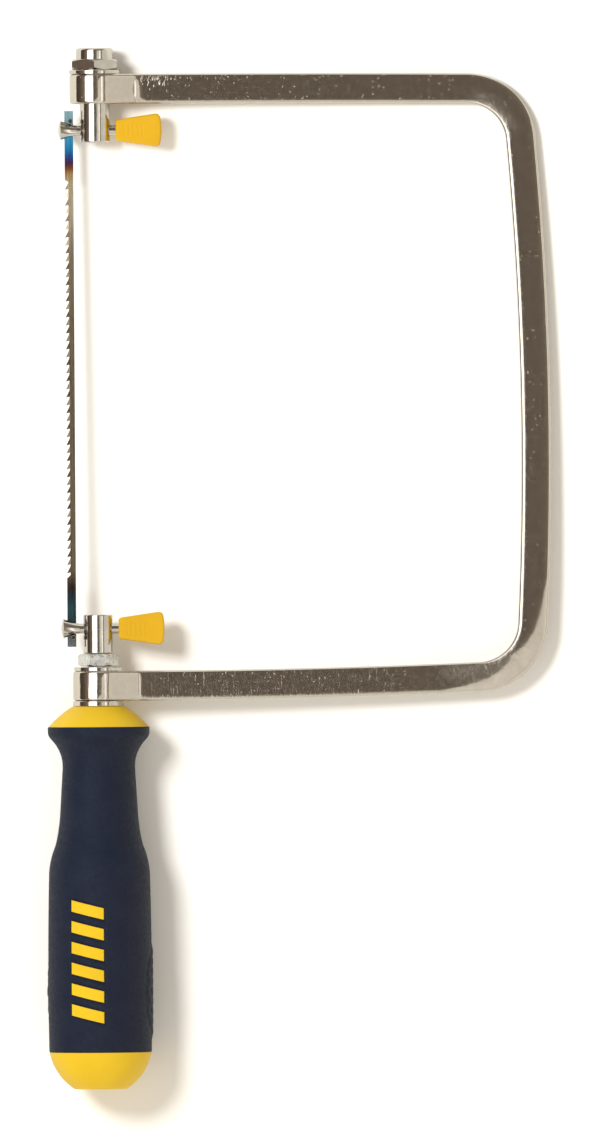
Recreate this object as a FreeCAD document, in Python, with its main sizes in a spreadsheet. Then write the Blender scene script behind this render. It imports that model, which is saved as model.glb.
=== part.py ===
"""Coping saw: a sprung bow, two swivelling blade holders, a pinned blade and a screw-on handle.

Origin: centre of the handle's flat end. +Z runs up the handle's axis, +X towards the bow's spine.
"""
import FreeCAD, Part
import math
import os
import Sketcher

V = FreeCAD.Vector

# How near an edge's middle lies to the plane it is picked by, in mm, and the least volume that
# a cut takes away, in mm3.
EDGE_MATCH = 0.005
LEAST_CUT = 1e-6

DIMENSIONS = {
    # Bow: flat bar, 3/8 in wide, bent to a C with both ends rolled into eyes.
    "bar_width": 9.5,
    "bar_thickness": 3.2,
    "bar_edge_round": 0.8,
    "lower_eye_z": 128.15,
    "upper_eye_z": 317.95,
    "eye_bore_radius": 4.8,
    "eye_ramp_angle": 30,
    "eye_bend_radius": 4,
    "eye_seam_angle": 3,
    "arm_start_x": 16,
    "lower_arm_radius": 2700,
    "upper_arm_radius": 10500,
    "lower_corner_radius": 17.7,
    "upper_corner_radius": 17.3,
    "spine_radius": 1120,
    "spine_reach": 139.75,
    "spine_middle_z": 203,
    # Blade holders.
    "running_gap": 0.05,
    "seat_gap": 0.02,
    "cut_overshoot": 1,
    "spindle_radius": 4.75,
    "spindle_chamfer": 0.4,
    "upper_spindle_foot_z": 301,
    "upper_spindle_end_z": 330.7,
    "upper_cross_z": 304.8,
    "upper_thread_z": 325,
    "upper_thread_pitch": 1.5875,
    "upper_thread_turns": 4,
    "lower_cross_z": 146.4,
    "lower_post_radius": 4.65,
    "lower_post_foot_z": 138.4,
    "lower_post_end_z": 150.8,
    "stud_socket_depth": 5.8,
    "stud_end_gap": 0.2,
    # Washers, nuts and bush.
    "upper_washer_radius": 8.15,
    "lower_washer_radius": 7.65,
    "washer_thickness": 1.2,
    "washer_edge": 0.25,
    "lock_nut_flats": 14.3,
    "lock_nut_height": 3.3,
    "lock_nut_turn": 30,
    "lock_collar_radius": 5.9,
    "lock_collar_height": 3.6,
    "lock_collar_round": 0.9,
    "lock_collar_overlap": 0.5,
    "lock_lip_height": 0.7,
    "lock_lip_gap": 0.1,
    "insert_radius": 5.35,
    "insert_height": 2.2,
    "jam_nut_flats": 11.1,
    "jam_nut_height": 4,
    "jam_nut_turn": 5,
    "nut_corner_angle": 30,
    "nut_corner_inset": 0.15,
    "nut_corner_overshoot": 0.5,
    "bush_flange_radius": 8.1,
    "bush_flange_height": 1.7,
    # Tension screw, 1/4 in - 20.
    "screw_radius": 3.175,
    "screw_pitch": 1.27,
    "thread_depth": 0.6,
    "thread_flank_share": 0.42,
    "thread_overshoot": 0.1,
    "screw_foot_z": 98,
    "screw_thread_turns": 34,
    "screw_gap": 0.06,
    # Cross pins and knobs.
    "cross_pin_radius": 1.6,
    "cross_head_radius": 3.2,
    "cross_head_x": 10.9,
    "cross_face_x": 11.7,
    "cross_dome_radius": 6.5,
    "cross_neck_x": 5.8,
    "cross_flare_radius": 22,
    "cross_pin_end_x": 17,
    "slot_width": 0.8,
    "slot_depth_x": 6.75,
    "knob_near_x": 6.6,
    "knob_far_x": 20.5,
    "knob_near_height": 6.65,
    "knob_far_height": 10.8,
    "knob_thickness": 5.4,
    "knob_near_round": 1,
    "knob_corner": 1.5,
    "knob_end_radius": 22,
    "knob_edge_round": 0.7,
    "knob_ribs": 5,
    "knob_rib_start_x": 9.4,
    "knob_rib_depth": 0.08,
    "knob_rib_width": 0.7,
    "knob_rib_pitch": 1.45,
    "knob_rib_margin": 1.4,
    # Blade: 10 teeth per inch, cutting towards the handle.
    "blade_back_x": 6.9,
    "blade_front_x": 9.7,
    "blade_thickness": 0.5,
    "blade_foot_z": 140.6,
    "blade_top_z": 311,
    "teeth_foot_z": 164,
    "tooth_pitch": 2.54,
    "tooth_depth": 1.1,
    "tooth_root_overlap": 0.2,
    "tooth_rake_share": 0.12,
    "tooth_slope_share": 0.9,
    "teeth_top_step": 0.6,
    "teeth_foot_step": 0.6,
    "teeth_foot_ramp": 1,
    "tooth_set_angle": 7,
    "teeth_set_left": 25,
    "teeth_set_right": 24,
    "blade_pin_radius": 0.7,
    "blade_pin_length": 5.5,
    "blade_pin_x": 7.8,
    "blade_pin_lift": 2.85,
    "blade_pin_chamfer": 0.15,
    # Handle: yellow core, dark overmould.
    "end_flat_radius": 8.4,
    "end_cap_round": 18,
    "end_cap_radius": 16.2,
    "end_cap_height": 11.7,
    "seam_gap": 0.1,
    "shank_radius": 12,
    "shank_taper_foot_z": 68,
    "shank_taper_top_z": 84,
    "shank_neck_radius": 9.2,
    "collar_foot_z": 115.1,
    "collar_radius": 15.95,
    "collar_round": 30,
    "collar_top_radius": 8.3,
    "handle_height": 121.6,
    "handle_bore_foot_z": 90,
    "handle_bore_radius": 3.6,
    "grip_foot_radius": 16.3,
    "grip_side_round": 1350,
    "shoulder_z": 68.7,
    "shoulder_radius": 16.05,
    "shoulder_round": 25.6,
    "shoulder_top_z": 77.5,
    "shoulder_top_radius": 13.9,
    "waist_round": 62,
    "waist_z": 89,
    "waist_radius": 12.3,
    "neck_z": 102.6,
    "neck_radius": 11.5,
    "flare_round": 12,
    "flare_z": 111.6,
    "flare_radius": 15.6,
    "flare_edge_round": 1.6,
    "flare_edge_radius": 16.15,
    "flare_edge_z": 112.7,
    "flare_top_radius": 16.2,
    "coupling_nut_flats": 11.1,
    "coupling_nut_length": 22.2,
    "coupling_nut_foot_z": 96.5,
    # Motif: slanted bars of the core that show through windows in the overmould.
    "motif_turn": 14,
    "motif_bars": 6,
    "motif_foot_z": 21,
    "motif_pitch": 6.6,
    "motif_width": 10.5,
    "motif_bar_height": 3.6,
    "motif_slant": 2.6,
    "motif_relief": 0.15,
    "motif_inner_y": 9,
    "motif_outer_y": 19,
    "motif_trim_margin": 4,
}

doc = FreeCAD.newDocument("coping_saw")


def fill_sheet():
    """Driving dimensions, one row each: the name beside its value."""
    sheet = doc.addObject("Spreadsheet::Sheet", "dims")
    for row, (name, value) in enumerate(DIMENSIONS.items(), start=1):
        sheet.set(f"A{row}", name)
        sheet.set(f"B{row}", str(value))
        sheet.setAlias(f"B{row}", name)
    doc.recompute()
    return sheet


dims = fill_sheet()


def value(expression):
    """Number that an expression over the sheet has now."""
    result = dims.evalExpression(expression)
    return getattr(result, "Value", result)


def new_body(name, height="0", along_x="0"):
    """Body whose placement puts its own origin at (along_x, 0, height)."""
    body = doc.addObject("PartDesign::Body", name)
    body.Label = name
    body.setExpression("Placement.Base.x", along_x)
    body.setExpression("Placement.Base.z", height)
    return body


def new_sketch(body, name, plane, offset="0"):
    """Sketch on one of the body's origin planes, moved along that plane's normal."""
    sketch = body.newObject("Sketcher::SketchObject", f"{body.Name}_{name}")
    planes = [item for item in body.Origin.OriginFeatures if item.Role == plane]
    sketch.AttachmentSupport = (planes[0], [""])
    sketch.MapMode = "FlatFace"
    sketch.setExpression("AttachmentOffset.Base.z", offset)
    return sketch


def bind(sketch, name, constraint, expression):
    """Add a sized constraint and tie it to an expression over the sheet."""
    index = sketch.addConstraint(constraint)
    sketch.renameConstraint(index, name)
    sketch.setExpression(f"Constraints.{name}", expression)


def bind_point(sketch, name, curve, end, x, y):
    """Hold one end (or the centre) of a curve at (x, y)."""
    bind(sketch, f"{name}_x", Sketcher.Constraint("DistanceX", curve, end, value(x)), x)
    bind(sketch, f"{name}_y", Sketcher.Constraint("DistanceY", curve, end, value(y)), y)


def arc_between(start, end, radius, turns_left):
    """Short arc from start to end that curves to the left or right of travel."""
    chord = end - start
    middle = (start + end) * 0.5
    left = V(-chord.y, chord.x, 0).normalize()
    reach = math.sqrt(radius * radius - chord.Length * chord.Length / 4)
    centre = middle + left * (reach if turns_left else -reach)
    first, last = (start, end) if turns_left else (end, start)
    first_angle = math.atan2(first.y - centre.y, first.x - centre.x)
    last_angle = math.atan2(last.y - centre.y, last.x - centre.x)
    return Part.ArcOfCircle(Part.Circle(centre, V(0, 0, 1), radius), first_angle, last_angle)


def outline(sketch, corners, tag=""):
    """Closed chain of corners (x, y); a corner (x, y, side, radius) is reached by an arc."""
    points = [V(value(corner[0]), value(corner[1]), 0) for corner in corners]
    ends = []
    for index, corner in enumerate(corners):
        start, end = points[index - 1], points[index]
        if len(corner) == 2:
            curve = sketch.addGeometry(Part.LineSegment(start, end))
            ends.append((curve, 1, 2))
            continue
        turns_left = corner[2] == "left"
        arc = arc_between(start, end, value(corner[3]), turns_left)
        curve = sketch.addGeometry(arc)
        ends.append((curve, 1, 2) if turns_left else (curve, 2, 1))
    for index in range(len(corners)):
        before, after = ends[index - 1], ends[index]
        sketch.addConstraint(Sketcher.Constraint("Coincident", before[0], before[2], after[0], after[1]))
    for index, corner in enumerate(corners):
        curve, _, last = ends[index]
        bind_point(sketch, f"corner{tag}_{index}", curve, last, corner[0], corner[1])
        if len(corner) == 4:
            radius = Sketcher.Constraint("Radius", curve, value(corner[3]))
            bind(sketch, f"round{tag}_{index}", radius, corner[3])


def circle(sketch, name, radius, x="0", y="0"):
    """Circle held by its centre and radius."""
    shape = Part.Circle(V(value(x), value(y), 0), V(0, 0, 1), value(radius))
    curve = sketch.addGeometry(shape)
    bind_point(sketch, name, curve, 3, x, y)
    bind(sketch, f"{name}_radius", Sketcher.Constraint("Radius", curve, value(radius)), radius)


def hexagon(sketch, flats, turn="0"):
    """Hexagon of a given size across its flats, with a corner on +X turned by an angle."""
    reach = f"({flats}) / 2 / cos(30 deg)"
    angles = [f"({turn} + {60 * corner}) * 1 deg" for corner in range(6)]
    outline(sketch, [(f"{reach} * cos({angle})", f"{reach} * sin({angle})") for angle in angles])


def extrude(body, name, kind, sketch, length, both_ways=False, reverse=False):
    """Pad or Pocket of a sketch."""
    feature = body.newObject(f"PartDesign::{kind}", f"{body.Name}_{name}")
    feature.Profile = sketch
    feature.SideType = "Symmetric" if both_ways else "One side"
    feature.Reversed = reverse
    feature.setExpression("Length", length)
    return feature


def cut(body, name, sketch, length, both_ways=False, reverse=False):
    """Pocket that must really remove material."""
    doc.recompute()
    before = body.Shape.Volume
    feature = extrude(body, name, "Pocket", sketch, length, both_ways, reverse)
    doc.recompute()
    if body.Shape.Volume > before - LEAST_CUT:
        raise RuntimeError(f"{feature.Name} removes nothing")
    return feature


def spin(body, name, kind, sketch, axis="V_Axis"):
    """Revolution or Groove of a sketch right round one of its own axes."""
    feature = body.newObject(f"PartDesign::{kind}", f"{body.Name}_{name}")
    feature.Profile = sketch
    feature.ReferenceAxis = (sketch, [axis])
    feature.Angle = 360
    return feature


def repeat(body, name, feature, sketch, spacing, count):
    """Row of copies of a feature along its sketch's vertical axis."""
    pattern = body.newObject("PartDesign::LinearPattern", f"{body.Name}_{name}")
    pattern.Originals = [feature]
    pattern.Direction = (sketch, ["V_Axis"])
    pattern.Mode = "Spacing"
    pattern.setExpression("Offset", spacing)
    pattern.setExpression("Occurrences", count)
    body.Tip = pattern
    return pattern


def sweep(body, name, section, path):
    """Bar section carried along a path."""
    pipe = body.newObject("PartDesign::AdditivePipe", f"{body.Name}_{name}")
    pipe.Profile = section
    pipe.Spine = (path, [f"Edge{index + 1}" for index in range(path.GeometryCount)])
    pipe.Mode = "Standard"
    return pipe


# --- Bow ------------------------------------------------------------------------------------


def bar_section(body, name, height):
    """Rounded rectangle across the bar, where an arm meets its eye."""
    sketch = new_sketch(body, name, "YZ_Plane", "dims.arm_start_x")
    half_thick = "dims.bar_thickness / 2"
    half_wide = "dims.bar_width / 2"
    edge = "dims.bar_edge_round"
    outline(sketch, [
        (f"{half_thick} - {edge}", f"{height} - {half_wide}"),
        (half_thick, f"{height} - {half_wide} + {edge}", "left", edge),
        (half_thick, f"{height} + {half_wide} - {edge}"),
        (f"{half_thick} - {edge}", f"{height} + {half_wide}", "left", edge),
        (f"{edge} - {half_thick}", f"{height} + {half_wide}"),
        (f"-{half_thick}", f"{height} + {half_wide} - {edge}", "left", edge),
        (f"-{half_thick}", f"{height} - {half_wide} + {edge}"),
        (f"{edge} - {half_thick}", f"{height} - {half_wide}", "left", edge),
    ])
    return sketch


def inner_tangent_centre(first, first_radius, second, second_radius, radius):
    """Centre of a small circle that touches two big ones from inside."""
    reach_one = first_radius - radius
    reach_two = second_radius - radius
    gap = second - first
    along = (reach_one ** 2 - reach_two ** 2 + gap.Length ** 2) / (2 * gap.Length)
    across = math.sqrt(reach_one ** 2 - along ** 2)
    unit = V(gap).normalize()
    options = [first + unit * along + V(-unit.y, unit.x, 0) * side * across for side in (1, -1)]
    return max(options, key=lambda point: point.x)


def bow_path(body):
    """Centre line of the bow: arm, corner, spine, corner, arm, each tangent to the next."""
    sketch = new_sketch(body, "bow_path", "XZ_Plane")
    start_x = value("dims.arm_start_x")
    lower_arm = V(start_x, value("dims.lower_eye_z + dims.lower_arm_radius"), 0)
    upper_arm = V(start_x, value("dims.upper_eye_z - dims.upper_arm_radius"), 0)
    spine = V(value("dims.spine_reach - dims.spine_radius"), value("dims.spine_middle_z"), 0)
    radii = [value(f"dims.{name}") for name in (
        "lower_arm_radius", "lower_corner_radius", "spine_radius",
        "upper_corner_radius", "upper_arm_radius")]
    lower_corner = inner_tangent_centre(lower_arm, radii[0], spine, radii[2], radii[1])
    upper_corner = inner_tangent_centre(upper_arm, radii[4], spine, radii[2], radii[3])
    centres = [lower_arm, lower_corner, spine, upper_corner, upper_arm]

    def heading(centre, point):
        return math.atan2(point.y - centre.y, point.x - centre.x)

    joints = [
        -math.pi / 2,
        heading(lower_arm, lower_corner),
        heading(spine, lower_corner),
        heading(spine, upper_corner),
        heading(upper_arm, upper_corner),
        math.pi / 2,
    ]
    for index, centre in enumerate(centres):
        round_shape = Part.Circle(centre, V(0, 0, 1), radii[index])
        sketch.addGeometry(Part.ArcOfCircle(round_shape, joints[index], joints[index + 1]))
    for index in range(4):
        sketch.addConstraint(Sketcher.Constraint("Tangent", index, 2, index + 1, 1))
    bind_point(sketch, "lower_start", 0, 1, "dims.arm_start_x", "dims.lower_eye_z")
    bind_point(sketch, "upper_end", 4, 2, "dims.arm_start_x", "dims.upper_eye_z")
    bind_point(sketch, "spine_centre", 2, 3, "dims.spine_reach - dims.spine_radius", "dims.spine_middle_z")
    for index, name in ((0, "lower"), (4, "upper")):
        square = Sketcher.Constraint("DistanceX", index, 3, start_x)
        bind(sketch, f"{name}_arm_square", square, "dims.arm_start_x")
    names = ("lower_arm_radius", "lower_corner_radius", "spine_radius",
             "upper_corner_radius", "upper_arm_radius")
    for index, name in enumerate(names):
        bind(sketch, name, Sketcher.Constraint("Radius", index, radii[index]), f"dims.{name}")
    return sketch


def eye_path(body, name, height):
    """Centre line of one rolled eye: along the arm, out to the front, and round the bore."""
    sketch = new_sketch(body, name, "XY_Plane", height)
    start = V(value("dims.arm_start_x"), 0, 0)
    slope = math.radians(value("dims.eye_ramp_angle"))
    bend = value("dims.eye_bend_radius")
    loop = value("dims.eye_bore_radius + dims.bar_thickness / 2")
    seam = math.radians(value("dims.eye_seam_angle"))
    down = V(-math.cos(slope), -math.sin(slope), 0)
    touch = V(math.sin(slope), -math.cos(slope), 0) * loop
    corner = touch - down * (touch.y / down.y)
    trim = bend * math.tan(slope / 2)
    bend_start = corner + V(trim, 0, 0)
    bend_end = corner + down * trim
    bend_circle = Part.Circle(bend_start - V(0, bend, 0), V(0, 0, 1), bend)
    quarter = math.pi / 2
    sketch.addGeometry(Part.LineSegment(start, bend_start))
    sketch.addGeometry(Part.ArcOfCircle(bend_circle, quarter, quarter + slope))
    sketch.addGeometry(Part.LineSegment(bend_end, touch))
    loop_circle = Part.Circle(V(0, 0, 0), V(0, 0, 1), loop)
    sketch.addGeometry(Part.ArcOfCircle(loop_circle, -seam, 3 * quarter + slope))
    sketch.addConstraint(Sketcher.Constraint("Tangent", 0, 2, 1, 1))
    sketch.addConstraint(Sketcher.Constraint("Tangent", 1, 2, 2, 1))
    sketch.addConstraint(Sketcher.Constraint("Tangent", 2, 2, 3, 2))
    sketch.addConstraint(Sketcher.Constraint("Horizontal", 0))
    bind_point(sketch, "arm_start", 0, 1, "dims.arm_start_x", "0")
    bind_point(sketch, "bore_centre", 3, 3, "0", "0")
    bind(sketch, "bend", Sketcher.Constraint("Radius", 1, bend), "dims.eye_bend_radius")
    loop_radius = "dims.eye_bore_radius + dims.bar_thickness / 2"
    bind(sketch, "loop", Sketcher.Constraint("Radius", 3, loop), loop_radius)
    tip_y = f"-({loop_radius}) * sin(dims.eye_seam_angle * 1 deg)"
    bind(sketch, "tip_y", Sketcher.Constraint("DistanceY", 3, 1, value(tip_y)), tip_y)
    bend_x = (f"({loop_radius}) / sin(dims.eye_ramp_angle * 1 deg)"
              " + dims.eye_bend_radius * tan(dims.eye_ramp_angle / 2 * 1 deg)")
    bind(sketch, "bend_x", Sketcher.Constraint("DistanceX", 0, 2, value(bend_x)), bend_x)
    return sketch


def make_frame_bow():
    """Bow: two rolled eyes joined by the swept C."""
    body = new_body("frame_bow")
    for end in ("lower", "upper"):
        height = f"dims.{end}_eye_z"
        section = bar_section(body, f"{end}_eye_section", height)
        sweep(body, f"{end}_eye", section, eye_path(body, f"{end}_eye_path", height))
        if end == "lower":
            bow_section = bar_section(body, "bow_section", height)
            sweep(body, "bow", bow_section, bow_path(body))
    return body


# --- Turned parts, nuts and washers ---------------------------------------------------------


def make_washer(name, height, radius, bore):
    """Flat washer with its outer edges broken."""
    body = new_body(name, height)
    sketch = new_sketch(body, "ring", "XY_Plane")
    circle(sketch, "rim", radius)
    circle(sketch, "bore", bore)
    extrude(body, "disc", "Pad", sketch, "dims.washer_thickness")
    edge_cut = new_sketch(body, "edge_section", "XZ_Plane")
    edge = "dims.washer_edge"
    outline(edge_cut, [
        (f"{radius} - {edge}", "dims.washer_thickness"),
        (radius, f"dims.washer_thickness - {edge}", "right", edge),
        (f"{radius} + dims.cut_overshoot", f"dims.washer_thickness - {edge}"),
        (f"{radius} + dims.cut_overshoot", "dims.washer_thickness + dims.cut_overshoot"),
        (f"{radius} - {edge}", "dims.washer_thickness + dims.cut_overshoot"),
    ])
    spin(body, "edge", "Groove", edge_cut)
    return body


def corner_groove(body, name, flats, height, top):
    """Cone that takes the sharp corners off one end of a hexagon."""
    sketch = new_sketch(body, name, "XZ_Plane")
    inside = f"({flats}) / 2 - dims.nut_corner_inset"
    outside = f"({flats}) / 2 / cos(30 deg) + dims.nut_corner_overshoot"
    drop = f"(({outside}) - ({inside})) * tan(dims.nut_corner_angle * 1 deg)"
    if top:
        corners = [(inside, height), (outside, f"{height} - {drop}"), (outside, height)]
    else:
        corners = [(inside, "0"), (outside, "0"), (outside, drop)]
    outline(sketch, corners)
    spin(body, f"{name}_cut", "Groove", sketch)


def make_upper_lock_nut():
    """Thin hexagon lock nut: hexagon, round collar and a pocket for the nylon ring."""
    body = new_body("upper_lock_nut", "dims.upper_eye_z + dims.bar_width / 2 + dims.washer_thickness"
                    " + 3 * dims.running_gap")
    hexagon_sketch = new_sketch(body, "hexagon", "XY_Plane")
    hexagon(hexagon_sketch, "dims.lock_nut_flats", "dims.lock_nut_turn")
    extrude(body, "hexagon_pad", "Pad", hexagon_sketch, "dims.lock_nut_height")
    corner_groove(body, "top_corners", "dims.lock_nut_flats", "dims.lock_nut_height", True)
    corner_groove(body, "foot_corners", "dims.lock_nut_flats", "dims.lock_nut_height", False)
    collar = new_sketch(body, "collar", "XZ_Plane")
    top = "dims.lock_nut_height + dims.lock_collar_height"
    bore = "dims.spindle_radius + dims.seat_gap"
    collar_foot = "dims.lock_nut_height - dims.lock_collar_overlap"
    lip_foot = f"{top} - dims.lock_lip_height"
    ring_foot = f"{lip_foot} - dims.insert_height - 2 * dims.seat_gap"
    outline(collar, [
        (bore, collar_foot),
        ("dims.lock_collar_radius", collar_foot),
        ("dims.lock_collar_radius", f"{top} - dims.lock_collar_round"),
        ("dims.lock_collar_radius - dims.lock_collar_round", top, "left", "dims.lock_collar_round"),
        (f"{bore} + dims.lock_lip_gap", top),
        (f"{bore} + dims.lock_lip_gap", lip_foot),
        ("dims.insert_radius + dims.seat_gap", lip_foot),
        ("dims.insert_radius + dims.seat_gap", ring_foot),
        (bore, ring_foot),
    ])
    spin(body, "collar_turned", "Revolution", collar)
    bore_sketch = new_sketch(body, "bore", "XY_Plane")
    circle(bore_sketch, "bore", bore)
    cut(body, "bore_cut", bore_sketch, "dims.lock_nut_height", reverse=True)
    return body


def make_lock_nut_insert():
    """Nylon ring that grips the thread inside the lock nut's collar."""
    body = new_body("lock_nut_insert", "dims.upper_eye_z + dims.bar_width / 2 + dims.washer_thickness"
                    " + 3 * dims.running_gap + dims.lock_nut_height + dims.lock_collar_height"
                    " - dims.lock_lip_height - dims.insert_height - dims.seat_gap")
    sketch = new_sketch(body, "ring", "XY_Plane")
    circle(sketch, "rim", "dims.insert_radius")
    circle(sketch, "bore", "dims.spindle_radius + dims.seat_gap")
    extrude(body, "ring_pad", "Pad", sketch, "dims.insert_height")
    return body


def thread_groove(body, name, radius, foot, pitch, turns):
    """Ring grooves that stand for a thread."""
    sketch = new_sketch(body, f"{name}_section", "XZ_Plane")
    outline(sketch, [
        (f"{radius} + dims.thread_overshoot", f"{foot} - dims.thread_flank_share * {pitch}"),
        (f"{radius} + dims.thread_overshoot", f"{foot} + dims.thread_flank_share * {pitch}"),
        (f"{radius} - dims.thread_depth", foot),
    ])
    groove = spin(body, name, "Groove", sketch)
    repeat(body, f"{name}_row", groove, sketch, pitch, turns)


def cross_hole(body, height):
    """Hole along X for a cross pin."""
    sketch = new_sketch(body, "cross_hole", "YZ_Plane")
    circle(sketch, "hole", "dims.cross_pin_radius + dims.seat_gap", "0", height)
    cut(body, "cross_hole_cut", sketch, "4 * dims.spindle_radius", both_ways=True)


def make_upper_spindle():
    """Round post that swivels in the upper eye."""
    body = new_body("upper_spindle", "dims.upper_spindle_foot_z")
    sketch = new_sketch(body, "section", "XZ_Plane")
    length = "dims.upper_spindle_end_z - dims.upper_spindle_foot_z"
    edge = "dims.spindle_chamfer"
    outline(sketch, [
        ("0", "0"),
        (f"dims.spindle_radius - {edge}", "0"),
        ("dims.spindle_radius", edge, "left", edge),
        ("dims.spindle_radius", f"{length} - {edge}"),
        (f"dims.spindle_radius - {edge}", length),
        ("0", length),
    ])
    spin(body, "post", "Revolution", sketch)
    cross_hole(body, "dims.upper_cross_z - dims.upper_spindle_foot_z")
    thread_groove(body, "thread", "dims.spindle_radius", "dims.upper_thread_z - dims.upper_spindle_foot_z",
                  "dims.upper_thread_pitch", "dims.upper_thread_turns")
    return body


def make_lower_spindle():
    """Round post above the lower eye, tapped from below for the tension screw."""
    body = new_body("lower_spindle", "dims.lower_post_foot_z")
    sketch = new_sketch(body, "section", "XZ_Plane")
    length = "dims.lower_post_end_z - dims.lower_post_foot_z"
    edge = "dims.spindle_chamfer"
    socket = "dims.screw_radius + dims.seat_gap"
    outline(sketch, [
        ("0", "dims.stud_socket_depth"),
        (socket, "dims.stud_socket_depth"),
        (socket, "0"),
        (f"dims.lower_post_radius - {edge}", "0"),
        ("dims.lower_post_radius", edge, "left", edge),
        ("dims.lower_post_radius", f"{length} - {edge}"),
        (f"dims.lower_post_radius - {edge}", length, "left", edge),
        ("0", length),
    ])
    spin(body, "post", "Revolution", sketch)
    cross_hole(body, "dims.lower_cross_z - dims.lower_post_foot_z")
    return body


def make_tension_screw():
    """Stud from the lower spindle down into the handle."""
    body = new_body("tension_screw", "dims.screw_foot_z")
    sketch = new_sketch(body, "section", "XZ_Plane")
    length = "dims.lower_post_foot_z + dims.stud_socket_depth - dims.stud_end_gap - dims.screw_foot_z"
    edge = "dims.thread_depth"
    outline(sketch, [
        ("0", "0"),
        (f"dims.screw_radius - {edge}", "0"),
        ("dims.screw_radius", edge),
        ("dims.screw_radius", f"{length} - {edge}"),
        (f"dims.screw_radius - {edge}", length),
        ("0", length),
    ])
    spin(body, "stud", "Revolution", sketch)
    thread_groove(body, "thread", "dims.screw_radius", "dims.screw_pitch", "dims.screw_pitch",
                  "dims.screw_thread_turns")
    return body


def make_lower_jam_nut():
    """Hexagon nut that locks the stud to the lower spindle."""
    body = new_body("lower_jam_nut", "dims.lower_post_foot_z - dims.running_gap - dims.jam_nut_height")
    sketch = new_sketch(body, "hexagon", "XY_Plane")
    hexagon(sketch, "dims.jam_nut_flats", "dims.jam_nut_turn")
    circle(sketch, "bore", "dims.screw_radius + dims.seat_gap")
    extrude(body, "hexagon_pad", "Pad", sketch, "dims.jam_nut_height")
    corner_groove(body, "top_corners", "dims.jam_nut_flats", "dims.jam_nut_height", True)
    corner_groove(body, "foot_corners", "dims.jam_nut_flats", "dims.jam_nut_height", False)
    return body


def make_lower_eye_bushing():
    """Flanged bush that fills the lower eye and guides the stud."""
    body = new_body("lower_eye_bushing", "dims.handle_height + dims.running_gap")
    sketch = new_sketch(body, "section", "XZ_Plane")
    bore = "dims.screw_radius + dims.screw_gap"
    sleeve = "dims.eye_bore_radius - dims.seat_gap"
    edge = "dims.washer_edge"
    outline(sketch, [
        (bore, "0"),
        (f"dims.bush_flange_radius - {edge}", "0"),
        ("dims.bush_flange_radius", edge, "left", edge),
        ("dims.bush_flange_radius", f"dims.bush_flange_height - {edge}"),
        (f"dims.bush_flange_radius - {edge}", "dims.bush_flange_height", "left", edge),
        (sleeve, "dims.bush_flange_height"),
        (sleeve, "dims.bush_flange_height + dims.bar_width"),
        (bore, "dims.bush_flange_height + dims.bar_width"),
    ])
    spin(body, "bush", "Revolution", sketch)
    return body


# --- Cross pins, knobs and blade ------------------------------------------------------------


def make_cross_pin(name, height):
    """Trumpet-headed pin along X; its head points to -X and is slotted for the blade."""
    body = new_body(name, height)
    sketch = new_sketch(body, "section", "XZ_Plane")
    outline(sketch, [
        ("-dims.cross_face_x", "0"),
        ("-dims.cross_head_x", "dims.cross_head_radius", "right", "dims.cross_dome_radius"),
        ("-dims.cross_neck_x", "dims.cross_pin_radius", "left", "dims.cross_flare_radius"),
        ("dims.cross_pin_end_x", "dims.cross_pin_radius"),
        ("dims.cross_pin_end_x", "0"),
    ])
    spin(body, "pin", "Revolution", sketch, "H_Axis")
    slot = new_sketch(body, "slot", "XZ_Plane")
    outline(slot, [
        ("-dims.cross_face_x - dims.cut_overshoot", "-2 * dims.cross_head_radius"),
        ("-dims.slot_depth_x", "-2 * dims.cross_head_radius"),
        ("-dims.slot_depth_x", "2 * dims.cross_head_radius"),
        ("-dims.cross_face_x - dims.cut_overshoot", "2 * dims.cross_head_radius"),
    ])
    cut(body, "slot_cut", slot, "dims.slot_width", both_ways=True)
    return body


def round_edges(body, name, feature, wanted, radius):
    """Fillet the edges of a feature whose middle meets a condition."""
    doc.recompute()
    names = [f"Edge{index + 1}" for index, edge in enumerate(feature.Shape.Edges)
             if wanted(edge.CenterOfMass)]
    fillet = body.newObject("PartDesign::Fillet", f"{body.Name}_{name}")
    fillet.Base = (feature, names)
    fillet.setExpression("Radius", radius)
    return fillet


def make_knob(name, height):
    """Flat tapered thumb knob pressed on the end of a cross pin."""
    body = new_body(name, height)
    face = new_sketch(body, "face", "XZ_Plane")
    near = "dims.knob_near_height / 2"
    far = "dims.knob_far_height / 2"
    outline(face, [
        ("dims.knob_near_x", f"-{near}"),
        ("dims.knob_far_x", f"-{far}"),
        ("dims.knob_far_x", far, "left", "dims.knob_end_radius"),
        ("dims.knob_near_x", near),
    ])
    pad = extrude(body, "paddle", "Pad", face, "dims.knob_thickness", both_ways=True)
    hole = new_sketch(body, "hole", "YZ_Plane", "dims.knob_near_x")
    circle(hole, "hole", "dims.cross_pin_radius + dims.seat_gap")
    depth = "dims.cross_pin_end_x - dims.knob_near_x + dims.seat_gap"
    pad = cut(body, "hole_cut", hole, depth, reverse=True)
    near_x = value("dims.knob_near_x")
    far_x = value("dims.knob_far_x")
    half_thick = value("dims.knob_thickness / 2")
    hole_radius = value("dims.cross_pin_radius + dims.seat_gap")
    near_corners = round_edges(
        body, "near_corners", pad,
        lambda at: abs(at.x - near_x) < EDGE_MATCH and abs(at.y) < EDGE_MATCH and abs(at.z) > hole_radius,
        "dims.knob_near_round")
    far_corners = round_edges(
        body, "far_corners", near_corners,
        lambda at: abs(at.x - far_x) < EDGE_MATCH and abs(at.y) < EDGE_MATCH, "dims.knob_corner")
    round_edges(
        body, "rim", far_corners,
        lambda at: abs(abs(at.y) - half_thick) < EDGE_MATCH, "dims.knob_edge_round")
    for side in (-1, 1):
        add_knob_ribs(body, side)
    return body


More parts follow.
